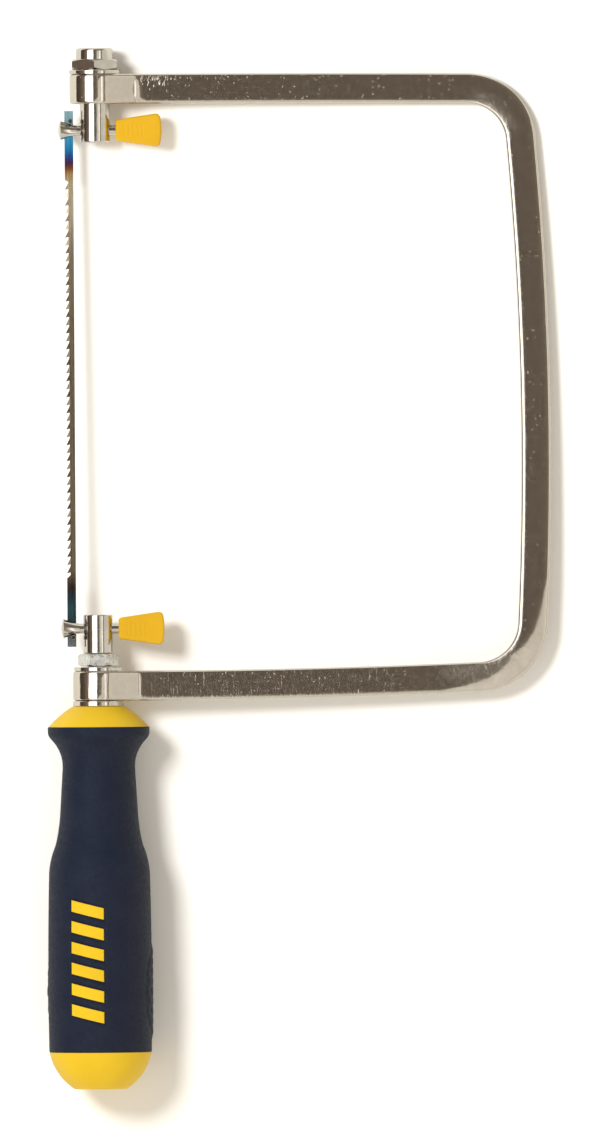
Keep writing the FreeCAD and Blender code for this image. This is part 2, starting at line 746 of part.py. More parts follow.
def add_knob_ribs(body, side):
    """Shallow grooves down one face of the knob, for the thumb."""
    sketch = new_sketch(body, f"ribs_{'back' if side > 0 else 'front'}", "XY_Plane",
                        "dims.knob_rib_margin - dims.knob_near_height / 2")
    face_y = f"{side} * dims.knob_thickness / 2"
    for index in range(DIMENSIONS["knob_ribs"]):
        middle = f"(dims.knob_rib_start_x + {index} * dims.knob_rib_pitch)"
        corners = [
            (f"{middle} - dims.knob_rib_width / 2", face_y),
            (middle, f"{face_y} - {side} * dims.knob_rib_depth"),
            (f"{middle} + dims.knob_rib_width / 2", face_y),
        ]
        outline(sketch, corners, tag=f"_{index}")
    length = "dims.knob_near_height - 2 * dims.knob_rib_margin"
    cut(body, f"{sketch.Name}_cut", sketch, length, reverse=True)


def make_saw_blade():
    """Blade: a strip with a hole near each end, and two rows of teeth leaning to either side."""
    body = new_body("saw_blade")
    strip = new_sketch(body, "strip", "XZ_Plane")
    root = "dims.blade_front_x - dims.tooth_depth"
    teeth_top = ("dims.teeth_foot_z + dims.tooth_pitch * (dims.teeth_set_left"
                 " + dims.teeth_set_right)")
    outline(strip, [
        ("-dims.blade_back_x", "dims.blade_foot_z"),
        ("-dims.blade_back_x", "dims.blade_top_z"),
        ("-dims.blade_front_x", "dims.blade_top_z"),
        ("-dims.blade_front_x", f"{teeth_top} + dims.teeth_top_step"),
        (f"-({root})", teeth_top),
        (f"-({root})", "dims.teeth_foot_z - dims.teeth_foot_step"),
        ("-dims.blade_front_x", "dims.teeth_foot_z - dims.teeth_foot_step - dims.teeth_foot_ramp"),
        ("-dims.blade_front_x", "dims.blade_foot_z"),
    ])
    lift = "dims.blade_pin_lift"
    hole = "dims.blade_pin_radius + dims.seat_gap"
    circle(strip, "lower_hole", hole, "-dims.blade_pin_x", f"dims.lower_cross_z - {lift}")
    circle(strip, "upper_hole", hole, "-dims.blade_pin_x", f"dims.upper_cross_z + {lift}")
    extrude(body, "strip_pad", "Pad", strip, "dims.blade_thickness", both_ways=True)
    for side, first, count in (("left", "0", "dims.teeth_set_left"),
                               ("right", "dims.tooth_pitch", "dims.teeth_set_right")):
        lean = 1 if side == "left" else -1
        tooth = new_sketch(body, f"tooth_{side}", "XZ_Plane")
        tooth.setExpression("AttachmentOffset.Base.x", f"-({root})")
        tooth.AttachmentOffset.Rotation.Axis = V(0, 1, 0)
        tooth.setExpression("AttachmentOffset.Rotation.Angle", f"{lean} * dims.tooth_set_angle")
        foot = f"dims.teeth_foot_z + {first}"
        rake_end = f"{foot} + dims.tooth_rake_share * dims.tooth_pitch"
        slope_end = f"{foot} + dims.tooth_slope_share * dims.tooth_pitch"
        outline(tooth, [
            ("-dims.tooth_depth", foot),
            ("0", rake_end),
            ("dims.tooth_root_overlap", rake_end),
            ("dims.tooth_root_overlap", slope_end),
            ("0", slope_end),
        ])
        pad = extrude(body, f"tooth_{side}_pad", "Pad", tooth, "dims.blade_thickness", both_ways=True)
        repeat(body, f"teeth_{side}", pad, tooth, "2 * dims.tooth_pitch", count)
    return body


def make_blade_pin(name, height):
    """Pin across the blade's end."""
    body = new_body(name, height, "-dims.blade_pin_x")
    sketch = new_sketch(body, "disc", "XZ_Plane")
    circle(sketch, "rim", "dims.blade_pin_radius")
    pad = extrude(body, "pin", "Pad", sketch, "dims.blade_pin_length", both_ways=True)
    doc.recompute()
    rims = [f"Edge{index + 1}" for index, edge in enumerate(pad.Shape.Edges)
            if isinstance(edge.Curve, Part.Circle)]
    chamfer = body.newObject("PartDesign::Chamfer", f"{body.Name}_ends")
    chamfer.Base = (pad, rims)
    chamfer.setExpression("Size", "dims.blade_pin_chamfer")
    return body


# --- Handle ---------------------------------------------------------------------------------


def grip_side(offset):
    """Outside of the grip from its foot to the shoulder, moved outwards by an offset."""
    return [
        (f"dims.grip_foot_radius + {offset}", "dims.end_cap_height + dims.seam_gap"),
        (f"dims.shoulder_radius + {offset}", "dims.shoulder_z", "left", f"dims.grip_side_round + {offset}"),
    ]


def shank_side(gap):
    """Outside of the core inside the grip, from the collar down, moved outwards by a gap."""
    return [
        (f"dims.shank_neck_radius + {gap}", "dims.collar_foot_z"),
        (f"dims.shank_neck_radius + {gap}", "dims.shank_taper_top_z"),
        (f"dims.shank_radius + {gap}", "dims.shank_taper_foot_z"),
        (f"dims.shank_radius + {gap}", "dims.end_cap_height"),
    ]


def motif_sketch(body, name, gap):
    """Row of slanted bars on the front of the handle, each grown by a gap on every side."""
    turn = "dims.motif_turn * 1 deg"
    sketch = new_sketch(body, name, "XZ_Plane", f"dims.motif_inner_y * cos({turn})")
    sketch.setExpression("AttachmentOffset.Base.x", f"-dims.motif_inner_y * sin({turn})")
    sketch.AttachmentOffset.Rotation.Axis = V(0, 1, 0)
    sketch.setExpression("AttachmentOffset.Rotation.Angle", "-dims.motif_turn")
    half = f"(dims.motif_width / 2 + {gap})"
    for bar in range(DIMENSIONS["motif_bars"]):
        foot = f"dims.motif_foot_z + {bar} * dims.motif_pitch"
        corners = [
            (f"-{half}", f"{foot} + dims.motif_slant - {gap}"),
            (half, f"{foot} - {gap}"),
            (half, f"{foot} + dims.motif_bar_height + {gap}"),
            (f"-{half}", f"{foot} + dims.motif_slant + dims.motif_bar_height + {gap}"),
        ]
        outline(sketch, corners, tag=f"_{bar}")
    return sketch


def make_handle_core():
    """Yellow moulding: rounded end cap, shank, collar, and bars that reach the grip's surface."""
    body = new_body("handle_core")
    section = new_sketch(body, "section", "XZ_Plane")
    outline(section, [
        ("0", "0"),
        ("dims.end_flat_radius", "0"),
        ("dims.end_cap_radius", "dims.end_cap_height", "left", "dims.end_cap_round"),
        ("dims.shank_radius", "dims.end_cap_height"),
        ("dims.shank_radius", "dims.shank_taper_foot_z"),
        ("dims.shank_neck_radius", "dims.shank_taper_top_z"),
        ("dims.shank_neck_radius", "dims.collar_foot_z"),
        ("dims.collar_radius", "dims.collar_foot_z"),
        ("dims.collar_top_radius", "dims.handle_height", "left", "dims.collar_round"),
        ("dims.handle_bore_radius", "dims.handle_height"),
        ("dims.handle_bore_radius", "dims.handle_bore_foot_z"),
        ("0", "dims.handle_bore_foot_z"),
    ])
    spin(body, "turned", "Revolution", section)
    reach = "dims.motif_outer_y - dims.motif_inner_y"
    extrude(body, "bars", "Pad", motif_sketch(body, "bars_face", "0"), reach)
    trim = new_sketch(body, "trim", "XZ_Plane")
    far = "dims.motif_outer_y + dims.motif_trim_margin"
    outline(trim, grip_side("dims.motif_relief") + [
        (far, "dims.shoulder_z"),
        (far, "dims.end_cap_height + dims.seam_gap"),
    ])
    spin(body, "trim_cut", "Groove", trim)
    nut_hole = new_sketch(body, "nut_hole", "XY_Plane", "dims.coupling_nut_foot_z - dims.seat_gap")
    hexagon(nut_hole, "dims.coupling_nut_flats + 2 * dims.seat_gap")
    depth = "dims.coupling_nut_length + 2 * dims.seat_gap"
    cut(body, "nut_hole_cut", nut_hole, depth, reverse=True)
    return body


def make_handle_grip():
    """Soft overmould with a window for each bar of the core."""
    body = new_body("handle_grip")
    section = new_sketch(body, "section", "XZ_Plane")
    outside = grip_side("0") + [
        ("dims.shoulder_top_radius", "dims.shoulder_top_z", "left", "dims.shoulder_round"),
        ("dims.waist_radius", "dims.waist_z", "right", "dims.waist_round"),
        ("dims.neck_radius", "dims.neck_z"),
        ("dims.flare_radius", "dims.flare_z", "right", "dims.flare_round"),
        ("dims.flare_edge_radius", "dims.flare_edge_z", "left", "dims.flare_edge_round"),
        ("dims.flare_top_radius", "dims.collar_foot_z - dims.seam_gap"),
    ]
    inside = shank_side("dims.seat_gap")
    inside[0] = (inside[0][0], "dims.collar_foot_z - dims.seam_gap")
    inside[-1] = (inside[-1][0], "dims.end_cap_height + dims.seam_gap")
    outline(section, outside + inside)
    spin(body, "turned", "Revolution", section)
    reach = "dims.motif_outer_y - dims.motif_inner_y"
    cut(body, "windows", motif_sketch(body, "windows_face", "dims.seat_gap"), reach, reverse=True)
    return body


def make_handle_thread_insert():
    """Hexagon coupling nut moulded into the core; the stud runs in it."""
    body = new_body("handle_thread_insert", "dims.coupling_nut_foot_z")
    sketch = new_sketch(body, "hexagon", "XY_Plane")
    hexagon(sketch, "dims.coupling_nut_flats")
    circle(sketch, "bore", "dims.screw_radius + dims.screw_gap")
    extrude(body, "hexagon_pad", "Pad", sketch, "dims.coupling_nut_length")
    return body


def build():
    """Every piece of the saw."""
    eye_top = "+ dims.bar_width / 2 + dims.running_gap"
    pin_down = "dims.lower_cross_z - dims.blade_pin_lift"
    pin_up = "dims.upper_cross_z + dims.blade_pin_lift"
    return [
        make_frame_bow(),
        make_washer("upper_washer", f"dims.upper_eye_z {eye_top}", "dims.upper_washer_radius",
                    "dims.spindle_radius + dims.running_gap"),
        make_upper_lock_nut(),
        make_lock_nut_insert(),
        make_upper_spindle(),
        make_cross_pin("upper_cross_pin", "dims.upper_cross_z"),
        make_knob("upper_knob", "dims.upper_cross_z"),
        make_saw_blade(),
        make_blade_pin("blade_pin_upper", pin_up),
        make_blade_pin("blade_pin_lower", pin_down),
        make_cross_pin("lower_cross_pin", "dims.lower_cross_z"),
        make_knob("lower_knob", "dims.lower_cross_z"),
        make_lower_spindle(),
        make_tension_screw(),
        make_lower_jam_nut(),
        make_washer("lower_washer", f"dims.lower_eye_z {eye_top}", "dims.lower_washer_radius",
                    "dims.screw_radius + dims.screw_gap"),
        make_lower_eye_bushing(),
        make_handle_core(),
        make_handle_grip(),
        make_handle_thread_insert(),
    ]


def check_and_write(pieces):
    """Stop on any failed object or bad shape, then write one STEP file for each piece."""
    for item in doc.Objects:
        if "Invalid" in item.State or "Error" in item.State:
            raise RuntimeError(f"{item.Name} failed: {item.State}")
    for piece in pieces:
        shape = piece.Shape
        if shape.isNull() or not shape.isValid() or len(shape.Solids) != 1:
            raise RuntimeError(f"{piece.Label} is not one valid solid")
    os.makedirs("parts", exist_ok=True)
    for piece in pieces:
        piece.Shape.exportStep(f"parts/{piece.Label}.step")


parts = build()
doc.recompute()
check_and_write(parts)
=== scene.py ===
import math

import bpy
import numpy as np
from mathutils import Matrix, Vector


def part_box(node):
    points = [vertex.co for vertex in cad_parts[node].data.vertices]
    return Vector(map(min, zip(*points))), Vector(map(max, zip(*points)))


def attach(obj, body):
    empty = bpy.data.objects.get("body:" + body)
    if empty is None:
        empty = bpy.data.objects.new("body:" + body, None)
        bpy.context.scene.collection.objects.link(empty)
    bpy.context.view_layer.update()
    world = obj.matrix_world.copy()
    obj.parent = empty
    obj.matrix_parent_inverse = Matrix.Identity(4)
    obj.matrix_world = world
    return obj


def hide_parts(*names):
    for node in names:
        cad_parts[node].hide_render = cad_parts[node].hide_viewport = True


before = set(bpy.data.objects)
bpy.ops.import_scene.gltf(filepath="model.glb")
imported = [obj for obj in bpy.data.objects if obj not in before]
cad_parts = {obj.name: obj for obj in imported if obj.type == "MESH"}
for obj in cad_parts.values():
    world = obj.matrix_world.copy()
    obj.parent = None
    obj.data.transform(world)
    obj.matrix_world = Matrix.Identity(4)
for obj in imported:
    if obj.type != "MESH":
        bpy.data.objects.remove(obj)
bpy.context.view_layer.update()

# Everything is in metres, except where a comment says millimetres; MM turns millimetres into metres.
MM = 0.001

# Bow: flat bar bent to a C with both ends rolled into eyes.
BAR_WIDTH = 9.5 * MM
BAR_THICKNESS = 3.2 * MM
BAR_EDGE = 0.85 * MM
EYE_BORE = 4.8 * MM
EYE_RAMP = math.radians(30)
EYE_BEND = 4 * MM
EYE_SEAM = math.radians(3)
ARM_START = 16 * MM
LOWER_ARM_ROUND = 2700 * MM
UPPER_ARM_ROUND = 10500 * MM
LOWER_CORNER = 17.7 * MM
UPPER_CORNER = 17.3 * MM
SPINE_ROUND = 1120 * MM
SPINE_REACH = 139.75 * MM
SPINE_MIDDLE = 203 * MM

# Thinned outer edge at the lower corner; shares are of half the bar's width.
CREASE_SLOPE = math.radians(6.5)
CREASE_ARM_REACH = 27 * MM
CREASE_SPINE_REACH = 31 * MM
CREASE_BOW = 1.1
CREASE_SHARE = 1.5
CREASE_BACK_SHARE = 0.4
CREASE_FADE = 4

# Curved fold where the bar runs into the upper eye.
FOLD_OFFSET = 2.5 * MM
FOLD_BULGE = 3 * MM
FOLD_REACH = 10 * MM

# Fineness of the bow's mesh.
EDGE_STEPS = 5
FACE_STEPS = 6
EYE_BEND_STEP = 0.3 * MM
EYE_STEP = 0.35 * MM
RAMP_POINTS = 12
ARM_STEP = 1.0 * MM
CORNER_STEP = 0.6 * MM
SPINE_STEP = 1.5 * MM

# Where the upper arm's flat ends, as a share of the length from its corner to the bar's end.
UPPER_FLAT_SHARE = 0.68

# Wear on the bow: lengths along the bar over which each kind fades in or out, counted from the
# end of the upper arm's flat or from a corner, and how strong it is there.
FAR_FLECKS = (40 * MM, 20 * MM)
FAR_FLECKS_STRENGTH = 0.45
NEAR_FLECKS = (13 * MM, 4 * MM)
FLECKS_PAST_FLAT = 3 * MM
INNER_FLECKS_STRENGTH = 0.35
WRINKLES_EVERYWHERE = 0.10
CALM_BEFORE_CORNER = (34 * MM, 6 * MM)
CALM_PAST_CORNER = 6 * MM
CALM_SHARE = 0.55
SPECKS_PAST_CORNER = 9 * MM
LOWER_SPECKS_STRENGTH = 0.4
MIDDLE_SPECKS_STRENGTH = 0.3
PATCH_OVERLAP = 2 * MM
PATCH_FADE = 6 * MM
LOWER_PATCH_START = 14 * MM
LOWER_PATCH_END = 6 * MM
UPPER_PATCH_STRENGTH = 1.1
SPINE_MOTTLE_FADE = 4 * MM
SPINE_MOTTLE_STRENGTH = 0.25

# The same across the bar, from -1 at its outer edge to 1 at its inner edge.
FLECKS_ACROSS = (0.3, -0.6)
EDGE_SPECKS = (0.3, 0.7)
UPPER_PATCH_ACROSS = (-0.3, 0.5)
LOWER_PATCH_ACROSS = (-0.9, 0.3)
SPINE_MOTTLE_ACROSS = (-0.3, -0.8)

# Handle.
MOTIF_TURN = math.radians(-14)
MOTIF_BARS = 6
MOTIF_FOOT = 21 * MM
MOTIF_PITCH = 6.6 * MM
MOTIF_WIDTH = 10.5 * MM
MOTIF_BAR_HEIGHT = 3.6 * MM
MOTIF_SLANT = 2.6 * MM
PAD_TURN = math.radians(110)
SEAM_COVER = 0.085 * MM

# Outside of the grip in millimetres: from (radius, height) to (radius, height), the arc's radius
# (none for a straight run) and whether the arc is hollow.
GRIP_OUTSIDE = [
    ((16.3, 11.8), (16.05, 68.7), 1350, False),
    ((16.05, 68.7), (13.9, 77.5), 25.6, False),
    ((13.9, 77.5), (12.3, 89.0), 62, True),
    ((12.3, 89.0), (11.5, 102.6), None, False),
    ((11.5, 102.6), (15.6, 111.6), 12, True),
    ((15.6, 111.6), (16.15, 112.7), 1.6, False),
    ((16.15, 112.7), (16.2, 115.0), None, False),
]

# More of the grip, in millimetres.
GRIP_ROWS = 330
GRIP_COLUMNS = 400
GRIP_SMOOTHING = 13
GRIP_SHARP_ENDS = 2.5
GRIP_END_EDGE = 0.08
GRIP_BORE = 12.05
GRIP_BORE_TOP = 68.0
GRIP_NECK_BORE = 9.25
GRIP_NECK_FOOT = 84.0
RECESS_DEPTH = 0.38
RECESS_BORDER = 0.75
RECESS_WALL = 0.35

# Panels of raised scales, in millimetres.
PANEL_HALF_WIDTH = 9.5
PANEL_HALF_HEIGHT = 15.5
PANEL_MIDDLE = 31.0
PANEL_EDGE = 0.22
PANEL_RADIUS = 16.4
SCALE_WIDTH = 6.0
SCALE_PITCH = 6.3
SCALE_HALF_WIDTH = 2.55
SCALE_HALF_HEIGHT = 2.7
SCALE_HEIGHT = 0.60
SCALE_ROUNDNESS = 0.6
SCALE_TOP_SHARE = 0.45

# Temper colours up the blade: height above its foot in millimetres, and colour.
BLADE_BANDS = [
    (0.0, (0.17, 0.19, 0.20)),
    (8.0, (0.035, 0.055, 0.065)),
    (12.5, (0.035, 0.085, 0.10)),
    (16.5, (0.030, 0.045, 0.060)),
    (19.0, (0.045, 0.028, 0.020)),
    (24.0, (0.150, 0.120, 0.086)),
    (104.0, (0.170, 0.138, 0.100)),
    (124.0, (0.235, 0.195, 0.135)),
    (136.0, (0.42, 0.365, 0.27)),
    (147.5, (0.56, 0.49, 0.34)),
    (150.3, (0.46, 0.30, 0.13)),
    (152.0, (0.22, 0.075, 0.030)),
    (153.6, (0.10, 0.028, 0.055)),
    (155.0, (0.045, 0.045, 0.200)),
    (156.8, (0.018, 0.150, 0.430)),
    (160.0, (0.040, 0.310, 0.570)),
    (164.0, (0.10, 0.36, 0.56)),
    (168.0, (0.28, 0.48, 0.56)),
]
BLADE_WOBBLE = 0.7 * MM

# Colours of the other surfaces.
SPINDLE_NICKEL = (0.74, 0.71, 0.66)
DULL_SHARE = 0.86
PIN_STEEL = (0.26, 0.24, 0.21)
BOW_NICKEL_DULL = (0.665, 0.62, 0.555)
BOW_NICKEL = (0.705, 0.665, 0.60)
ZINC_DULL = (0.60, 0.61, 0.59)
ZINC = (0.84, 0.85, 0.83)
KNOB_YELLOW = (0.62, 0.362, 0.015)
KNOB_YELLOW_DEEP = (0.58, 0.332, 0.012)
CORE_YELLOW = (0.70, 0.465, 0.016)
CORE_YELLOW_DEEP = (0.66, 0.43, 0.014)
GRIP_NAVY_DEEP = (0.0075, 0.0115, 0.0260)
GRIP_NAVY = (0.0105, 0.0150, 0.0320)
NYLON_DULL = (0.66, 0.65, 0.60)
NYLON = (0.76, 0.75, 0.70)

# Sheet under the saw. The saw lies on its handle, its lock nut and the bow's upper corner, so the
# sheet leans a little; the leans are slopes.
FLOOR_SIZE = 2.0
FLOOR_DEPTH = 17.95 * MM
FLOOR_LEAN_Z = 0.0297
FLOOR_LEAN_X = 0.0475
SHEET = (0.93, 0.925, 0.915)
# Painted shade: the sheet is drawn darker where bright metal mirrors it.
SHEET_PAINTED_DIM_IN_METAL = (0.70, 0.70, 0.66)

# Studio, as matt surfaces see it.
AMBIENT_BELOW = (1.14, 1.07, 0.95)
AMBIENT_ABOVE = (0.31, 0.29, 0.26)
AMBIENT_RIGHT = (1.14, 1.12, 1.08)
AMBIENT_SPAN = (-60.0, 60.0)
AMBIENT_RIGHT_SPAN = (-0.2, 0.9)
BACKDROP = (0.98, 0.98, 0.975)

# Studio, as bright metal sees it; angles are degrees to the right of the camera and up.
SOFTBOX_LEVEL = (3.2, 3.15, 3.0)
SOFTBOX_OFF_LEVEL = (1.5, 1.47, 1.43)
SOFTBOX_DIMMING = (5.0, 12.0)
SOFTBOX_LEFT = (-47.0, -39.0)
SOFTBOX_RIGHT = (-9.0, -5.0)
SOFTBOX_BOTTOM = (-55.0, -48.0)
SOFTBOX_TOP = (48.0, 55.0)
FRONT_DARK_LEFT = (0.082, 0.066, 0.051)
FRONT_DARK_RIGHT = (0.215, 0.176, 0.138)
FRONT_DARK_SPAN = (-8.0, 8.0)
SIDE_DARK_FAR = (0.085, 0.062, 0.048)
SIDE_DARK_NEAR = (0.24, 0.175, 0.14)
SIDE_DARK_SPAN = (-80.0, -46.0)
WALL = (0.88, 0.83, 0.74)
WALL_DULL = (0.76, 0.71, 0.62)
WALL_AZIMUTH_SHARE = 0.5
WALL_ELEVATION_SHARE = 0.87
WALL_START = (5.5, 8.0)
CEILING = (1.1, 1.08, 1.05)
CEILING_START = (50.0, 72.0)
POST = (0.30, 0.24, 0.17)
WINDOW = (1.7, 1.65, 1.55)
# Upright stripes on the wall: azimuth, half width where it starts and stops fading, colour.
STRIPES = [
    (46.0, (2.0, 6.0), POST),
    (98.0, (2.0, 6.0), POST),
    (34.0, (1.5, 4.0), WINDOW),
]

# Lamp and camera.
KEY_PLACE = (-0.66, -1.15, 0.36)
KEY_SIZE = 0.40
KEY_POWER = 15.5
KEY_COLOUR = (1.0, 0.985, 0.96)
CAMERA_DISTANCE = 9.0
CAMERA_ROLL = math.radians(-0.36)
FRAME_HEIGHT = 362.2 * MM
LOOK_AT = (64.36 * MM, 0, 164.75 * MM)
SENSOR = 36


# --- Node helpers ---------------------------------------------------------------------------

# Results of a step that goes down from 1 to 0.
FALLING = (1.0, 0.0)

def add_node(tree, kind, inputs=None, **settings):
    """Add a node; an input is either a value or another node's output socket."""
    node = tree.nodes.new(kind)
    for key, setting in settings.items():
        setattr(node, key, setting)
    for key, source in (inputs or {}).items():
        if isinstance(source, bpy.types.NodeSocket):
            tree.links.new(source, node.inputs[key])
        else:
            node.inputs[key].default_value = source
    return node


def maths(tree, operation, first, second=0.0, third=0.0):
    """One Math node's output."""
    node = add_node(tree, "ShaderNodeMath", {0: first, 1: second, 2: third}, operation=operation)
    return node.outputs[0]


def smooth_step(tree, source, span, result=(0.0, 1.0), curve="SMOOTHSTEP"):
    """Soft step between two results while the source crosses a span."""
    inputs = {"Value": source, "From Min": span[0], "From Max": span[1],
              "To Min": result[0], "To Max": result[1]}
    return add_node(tree, "ShaderNodeMapRange", inputs, interpolation_type=curve).outputs["Result"]


def straight_ramp(tree, source, span):
    """Straight ramp from 0 to 1 while the source crosses a span."""
    return smooth_step(tree, source, span, curve="LINEAR")


def opaque(colour):
    """Colour with full alpha; a node's output socket is passed on as it is."""
    if isinstance(colour, bpy.types.NodeSocket):
        return colour
    return (*colour, 1)


def blend_colour(tree, factor, first, second, mode="MIX"):
    """Mix two colours. The node keeps its colours on inputs 6 and 7 and their mix on output 2."""
    inputs = {0: factor, 6: opaque(first), 7: opaque(second)}
    return add_node(tree, "ShaderNodeMix", inputs, data_type="RGBA", blend_type=mode).outputs[2]


def noise(tree, vector, scale, detail=3.0, roughness=0.5):
    """Noise value from 0 to 1; the scale is in blotches a metre."""
    node = add_node(tree, "ShaderNodeTexNoise", {
        "Vector": vector, "Scale": scale, "Detail": detail, "Roughness": roughness})
    return node.outputs["Fac"]


def stretch(tree, vector, scale):
    """Scale a coordinate by a different amount on each axis."""
    return add_node(tree, "ShaderNodeMapping", {"Vector": vector, "Scale": scale}).outputs["Vector"]


def bump(tree, height, distance, normal=None):
    """Surface normal raised by a height field."""
    inputs = {"Height": height, "Distance": distance, "Strength": 1.0}
    if normal is not None:
        inputs["Normal"] = normal
    return add_node(tree, "ShaderNodeBump", inputs).outputs["Normal"]


def rounded_edges(tree, radius):
    """Surface normal with sharp edges softened."""
    return add_node(tree, "ShaderNodeBevel", {"Radius": radius}, samples=4).outputs["Normal"]


def mark(tree, name):
    """Strength of a named wear mask stored on the mesh."""
    return add_node(tree, "ShaderNodeAttribute", attribute_name=name).outputs["Fac"]


def start_material(name):
    """Empty material with its coordinates."""
    material = bpy.data.materials.new(name)
    material.use_nodes = True
    tree = material.node_tree
    tree.nodes.clear()
    coordinates = add_node(tree, "ShaderNodeTexCoord")
    return material, tree, coordinates


def end_material(tree, **inputs):
    """Principled surface wired to the output."""
    named = {key.replace("_", " "): source for key, source in inputs.items()}
    surface = add_node(tree, "ShaderNodeBsdfPrincipled", named)
    output = add_node(tree, "ShaderNodeOutputMaterial")
    tree.links.new(surface.outputs["BSDF"], output.inputs["Surface"])
    return surface


# --- Materials ------------------------------------------------------------------------------


def nickel_material(name, tint, wear):
    """Bright nickel plate: slow waviness, fine grain and light scuffs."""
    material, tree, coordinates = start_material(name)
    place = coordinates.outputs["Object"]
    tone = noise(tree, place, scale=260, detail=4, roughness=0.6)
    dull = tuple(channel * DULL_SHARE for channel in tint)
    colour = blend_colour(tree, smooth_step(tree, tone, (0.35, 0.7)), dull, tint)
    scuffs = noise(tree, place, scale=900, detail=3)
    roughness = smooth_step(tree, scuffs, (0.3, 0.75), (0.07, 0.07 + 0.12 * wear))
    rounded = rounded_edges(tree, 0.12 * MM)
    waves = bump(tree, noise(tree, place, scale=130, detail=1), 0.10 * MM * wear, rounded)
    grain = bump(tree, noise(tree, place, scale=2600, detail=2), 0.006 * MM * wear, waves)
    end_material(tree, Base_Color=colour, Metallic=1.0, Roughness=roughness, Normal=grain)
    return material


def bow_material():
    """Nickel over rolled bar: wrinkles across the bar, flecks by the upper eye, stray specks."""
    material, tree, coordinates = start_material("nickel_bow")
    along = coordinates.outputs["UV"]
    place = coordinates.outputs["Object"]
    tone = smooth_step(tree, noise(tree, place, scale=420, detail=5, roughness=0.65), (0.3, 0.75))
    colour = blend_colour(tree, tone, BOW_NICKEL_DULL, BOW_NICKEL)
    polish = smooth_step(tree, noise(tree, place, scale=700, detail=4), (0.3, 0.8), (0.07, 0.13))
    roughness = maths(tree, "MULTIPLY_ADD", mark(tree, "mottled"), 0.06, polish)
    wrinkle_field = noise(tree, stretch(tree, along, (1500, 130, 1)), scale=1, detail=3)
    wrinkle_size = maths(tree, "MULTIPLY_ADD", mark(tree, "wrinkled"), 0.035 * MM, 0.002 * MM)
    wrinkled = bump(tree, wrinkle_field, wrinkle_size)
    waved = bump(tree, noise(tree, place, scale=120, detail=1), 0.022 * MM, wrinkled)
    fleck_field = noise(tree, stretch(tree, along, (2900, 520, 1)), scale=1, detail=1)
    fleck_level = maths(tree, "MULTIPLY_ADD", mark(tree, "flecked"), 0.25, fleck_field)
    flecked = bump(tree, smooth_step(tree, fleck_level, (0.80, 0.92)), 0.020 * MM, waved)
    speck_field = noise(tree, place, scale=1600, detail=0)
    speck_level = maths(tree, "MULTIPLY_ADD", mark(tree, "specked"), 0.047, speck_field)
    specked = bump(tree, smooth_step(tree, speck_level, (0.84, 0.90)), 0.05 * MM, flecked)
    mottle_field = noise(tree, place, scale=800, detail=3, roughness=0.6)
    mottle_level = maths(tree, "MULTIPLY", mottle_field, mark(tree, "mottled"))
    mottled = bump(tree, mottle_level, 0.04 * MM, specked)
    end_material(tree, Base_Color=colour, Metallic=1.0, Roughness=roughness, Normal=mottled)
    return material


def zinc_material():
    """Bright zinc plate with a faint spangle."""
    material, tree, coordinates = start_material("zinc_hardware")
    place = coordinates.outputs["Object"]
    cells = add_node(tree, "ShaderNodeTexVoronoi", {"Vector": place, "Scale": 1100})
    spangle = add_node(tree, "ShaderNodeSeparateColor", {"Color": cells.outputs["Color"]}).outputs["Red"]
    colour = blend_colour(tree, spangle, ZINC_DULL, ZINC)
    roughness = smooth_step(tree, spangle, (0.0, 1.0), (0.26, 0.42))
    waves = bump(tree, noise(tree, place, scale=500, detail=2), 0.05 * MM, rounded_edges(tree, 0.14 * MM))
    facets = bump(tree, spangle, 0.010 * MM, waves)
    end_material(tree, Base_Color=colour, Metallic=0.85, Roughness=roughness, Normal=facets)
    return material


def plastic_material(name, colour, deeper):
    """Moulded plastic: even colour, faint mould texture, light scuffing."""
    material, tree, coordinates = start_material(name)
    place = coordinates.outputs["Object"]
    tone = smooth_step(tree, noise(tree, place, scale=70, detail=3), (0.3, 0.75))
    base = blend_colour(tree, tone, deeper, colour)
    scuffs = noise(tree, place, scale=1500, detail=4, roughness=0.6)
    roughness = smooth_step(tree, scuffs, (0.3, 0.8), (0.36, 0.51))
    sink = bump(tree, noise(tree, place, scale=90, detail=1), 0.05 * MM, rounded_edges(tree, 0.15 * MM))
    grain = bump(tree, noise(tree, place, scale=5200, detail=2), 0.010 * MM, sink)
    surface = end_material(tree, Base_Color=base, Roughness=roughness, Normal=grain,
                           Subsurface_Weight=0.12, Subsurface_Scale=1.0, Specular_IOR_Level=0.2)
    surface.inputs["Subsurface Radius"].default_value = (1.2 * MM, 0.6 * MM, 0.15 * MM)
    return material


def rubber_material():
    """Soft dark blue overmould: matt, with a fine spark-eroded grain and a little bloom."""
    material, tree, coordinates = start_material("navy_grip")
    place = coordinates.outputs["Object"]
    bloom = smooth_step(tree, noise(tree, place, scale=160, detail=5, roughness=0.65), (0.35, 0.8))
    base = blend_colour(tree, bloom, GRIP_NAVY_DEEP, GRIP_NAVY)
    roughness = smooth_step(tree, noise(tree, place, scale=900, detail=3), (0.3, 0.7), (0.52, 0.66))
    grain = bump(tree, noise(tree, place, scale=4200, detail=3, roughness=0.6), 0.022 * MM)
    sink = bump(tree, noise(tree, place, scale=110, detail=1), 0.06 * MM, grain)
    end_material(tree, Base_Color=base, Roughness=roughness, Normal=sink, Specular_IOR_Level=0.22)
    return material


def nylon_material():
    """Natural nylon."""
    material, tree, coordinates = start_material("nylon")
    tone = noise(tree, coordinates.outputs["Object"], scale=300, detail=2)
    end_material(tree, Base_Color=blend_colour(tree, tone, NYLON_DULL, NYLON), Roughness=0.5)
    return material


